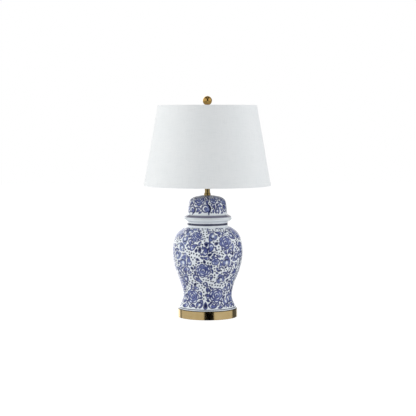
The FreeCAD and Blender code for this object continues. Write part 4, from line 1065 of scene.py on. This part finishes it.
materials = {name: brushed_metal(name, *look) for name, look in METALS.items()}
materials.update({name: plain_material(name, *look) for name, look in PLAIN.items()})
materials["felt"] = felt_material()
materials["shade_cloth"] = plain_material("hem_cloth", (240, 241, 241), (226, 229, 230), 0.9, 500, 0.0001, 1300)

# ---------------------------------------------------------------- the shade's cloth


THREAD = 0.00075  # from one thread to the next, in metres


def cloth_material():
    """A plain weave with slubs, laid on the flat cut of the cloth and carried round the shade with it."""
    material, n = new_material("woven_cloth")
    threads = n.add("ShaderNodeUVMap", uv_map="threads").outputs[0]
    split = n.add("ShaderNodeSeparateXYZ", {0: threads})
    across, along = split.outputs[0], split.outputs[1]
    pitch = 1 / THREAD * math.pi

    def stretched_noise(scale_x, scale_y, detail=2.0):
        mapped = n.add("ShaderNodeMapping", {"Vector": threads, "Scale": (scale_x, scale_y, 1.0)})
        inputs = {"Vector": mapped.outputs[0], "Scale": 1.0, "Detail": detail}
        return n.add("ShaderNodeTexNoise", inputs).outputs["Fac"]

    sway = n.maths("MULTIPLY", stretched_noise(90, 90), 0.0006)
    wave_x = n.maths("SINE", n.maths("MULTIPLY", n.maths("ADD", across, sway), pitch))
    wave_y = n.maths("SINE", n.maths("MULTIPLY", n.maths("ADD", along, sway), pitch))
    over = n.ramp(n.maths("MULTIPLY", wave_x, wave_y), -0.5, 0.5)
    warp = n.maths("MULTIPLY", n.maths("ABSOLUTE", wave_x), over)
    weft = n.maths("MULTIPLY", n.maths("ABSOLUTE", wave_y), n.maths("SUBTRACT", 1.0, over))
    height = n.maths("ADD", warp, weft)
    slub_x = stretched_noise(26, 900, 3.0)
    slub_y = stretched_noise(900, 26, 3.0)
    slub = n.maths("ADD", n.ramp(slub_x, 0.5, 0.75), n.ramp(slub_y, 0.5, 0.75))
    cloud = stretched_noise(14, 14, 3.0)
    colour = n.mix(cloud, srgb(236, 239, 240), srgb(242, 243, 243))
    colour = n.mix(n.maths("MULTIPLY", slub, 0.30), colour, srgb(216, 219, 220))
    # painted shade: the low places of the weave, between the threads, are darker
    colour = n.mix(n.ramp(height, 0.0, 0.55, 0.16, 0.0), colour, srgb(196, 200, 203))
    normal = n.bump(n.maths("MULTIPLY_ADD", slub, 0.6, height), 0.00012, 0.5)
    n.finish(Base_Color=colour, Roughness=0.9, Sheen_Weight=0.12, Sheen_Roughness=0.4, Normal=normal)
    return material


def make_shade():
    """The cloth of the shade: a thin closed sheet with turned hems and a lapped seam at the back."""
    low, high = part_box("shade_fabric")
    bottom, top = low.z, high.z
    spots = np.array([v.co for v in nodes["shade_fabric"].data.vertices])
    reach = np.hypot(spots[:, 0], spots[:, 1])
    bottom_radius = reach[spots[:, 2] < bottom + 0.5 * MM].max()
    top_radius = reach[spots[:, 2] > top - 0.5 * MM].max()
    slant = math.hypot(top - bottom, bottom_radius - top_radius)
    thickness, edge = 0.6 * MM, 0.3 * MM
    lean = np.array([bottom_radius - top_radius, top - bottom]) / slant  # outward, then up

    # heights of the rows as lengths up the cloth, with the edges of the turned hems in them
    hem = 12.0 * MM
    steps = np.concatenate(
        [
            [0.35 * MM, 1.0 * MM, 3.0 * MM, 7.0 * MM, hem - 0.8 * MM, hem, hem + 0.8 * MM],
            np.linspace(hem + 6 * MM, slant - hem - 6 * MM, 44),
            [slant - hem - 0.8 * MM, slant - hem, slant - hem + 0.8 * MM],
            [slant - 7 * MM, slant - 3 * MM, slant - 1.0 * MM, slant - 0.35 * MM],
        ]
    )
    seam = np.radians(np.array([-2.2, -1.9, -1.65, -0.8, 0.0, 0.8, 1.65, 1.78, 2.0, 2.4]))
    angles = np.concatenate([seam, np.linspace(math.radians(3.4), 2 * math.pi - math.radians(3.2), 330)])
    angles = np.sort(angles) - FRONT  # the seam is at the back
    draw = np.random.default_rng(5)
    phases = draw.uniform(0, 6.28, 8)

    def proud(angle, up):
        """How far the cloth stands out from the liner: hems, the lapped seam, and a hand-made unevenness."""
        aside = (angle + FRONT + math.pi) % (2 * math.pi) - math.pi
        lap = np.clip((math.radians(1.85) - abs(aside)) / math.radians(0.25), 0, 1)
        hems = np.clip((hem + 0.8 * MM - np.minimum(up, slant - up)) / (1.2 * MM), 0, 1)
        wave = 0.0
        for k in range(3, 9):
            wave = wave + math.sin(k * angle + phases[k - 3]) * np.sin(3.1 * up / slant + phases[k - 4]) / k
        calm = np.clip(np.minimum(up, slant - up) / (40 * MM), 0, 1)
        return 0.35 * MM * lap + 0.28 * MM * hems + 0.22 * MM * wave * calm

    def spot(up, out):
        """The radius and height of a point so far up the cloth and out from its middle."""
        share = up / slant
        radius = bottom_radius + (top_radius - bottom_radius) * share
        return radius + out * lean[1], bottom + (top - bottom) * share + out * lean[0]

    columns = []
    for angle in angles:
        outside = [spot(up, proud(angle, up) - edge) for up in steps]
        inside = [spot(up, -thickness) for up in steps[::-1]]
        columns.append(outside + [(top_radius - edge, top)] + inside + [(bottom_radius - edge, bottom)])
    rows = np.array(columns)
    count = rows.shape[1]
    points = np.stack(
        [rows[:, :, 0] * np.cos(angles)[:, None], rows[:, :, 0] * np.sin(angles)[:, None], rows[:, :, 1]], axis=2
    )
    faces, flat = [], []
    full = slant * bottom_radius / (bottom_radius - top_radius)
    share = (bottom_radius - top_radius) / slant
    ups = np.concatenate([steps, [slant], steps[::-1], [0.0]])
    for a in range(len(angles)):
        b = (a + 1) % len(angles)
        first = angles[a] + FRONT
        last = angles[b] + FRONT + (2 * math.pi if b == 0 else 0)
        for k in range(count):
            m = (k + 1) % count
            faces.append((a * count + k, b * count + k, b * count + m, a * count + m))
            for angle, up in ((first, ups[k]), (last, ups[k]), (last, ups[m]), (first, ups[m])):
                turn = (angle - math.pi) * share
                flat.append(((full - up) * math.sin(turn), (full - up) * math.cos(turn)))
    cover = add_mesh("shade_cover", points.reshape(-1, 3), faces)
    layer = cover.data.uv_layers.new(name="threads")
    layer.data.foreach_set("uv", np.array(flat).ravel())
    cover.data.materials.append(cloth_material())
    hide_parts("shade_fabric")
    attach(cover, "shade")


make_shade()

# ---------------------------------------------------------------- materials on the carried-over parts

special = {
    # the drum's top edge, under the jar's foot, gets a band of painted shade and dark reflection
    "base_drum": brushed_metal("drum_brass", *METALS["satin_brass"], painted_shade_heights=(0.0271, 0.0283)),
    # the neck gets the darker brass, as painted shade under the lampshade
    "neck_collar": materials["shaded_neck_brass"],
    "neck_tube": materials["shaded_neck_brass"],
    "finial_foot": materials["ball_brass"],
    "finial_ball": materials["ball_brass"],
}
for part in frame["record"]["subparts"]:
    thing = nodes[part["node"]]
    if thing.hide_render:
        continue
    thing.data.materials.clear()
    thing.data.materials.append(special.get(part["node"], materials[part["material_slot"]]))
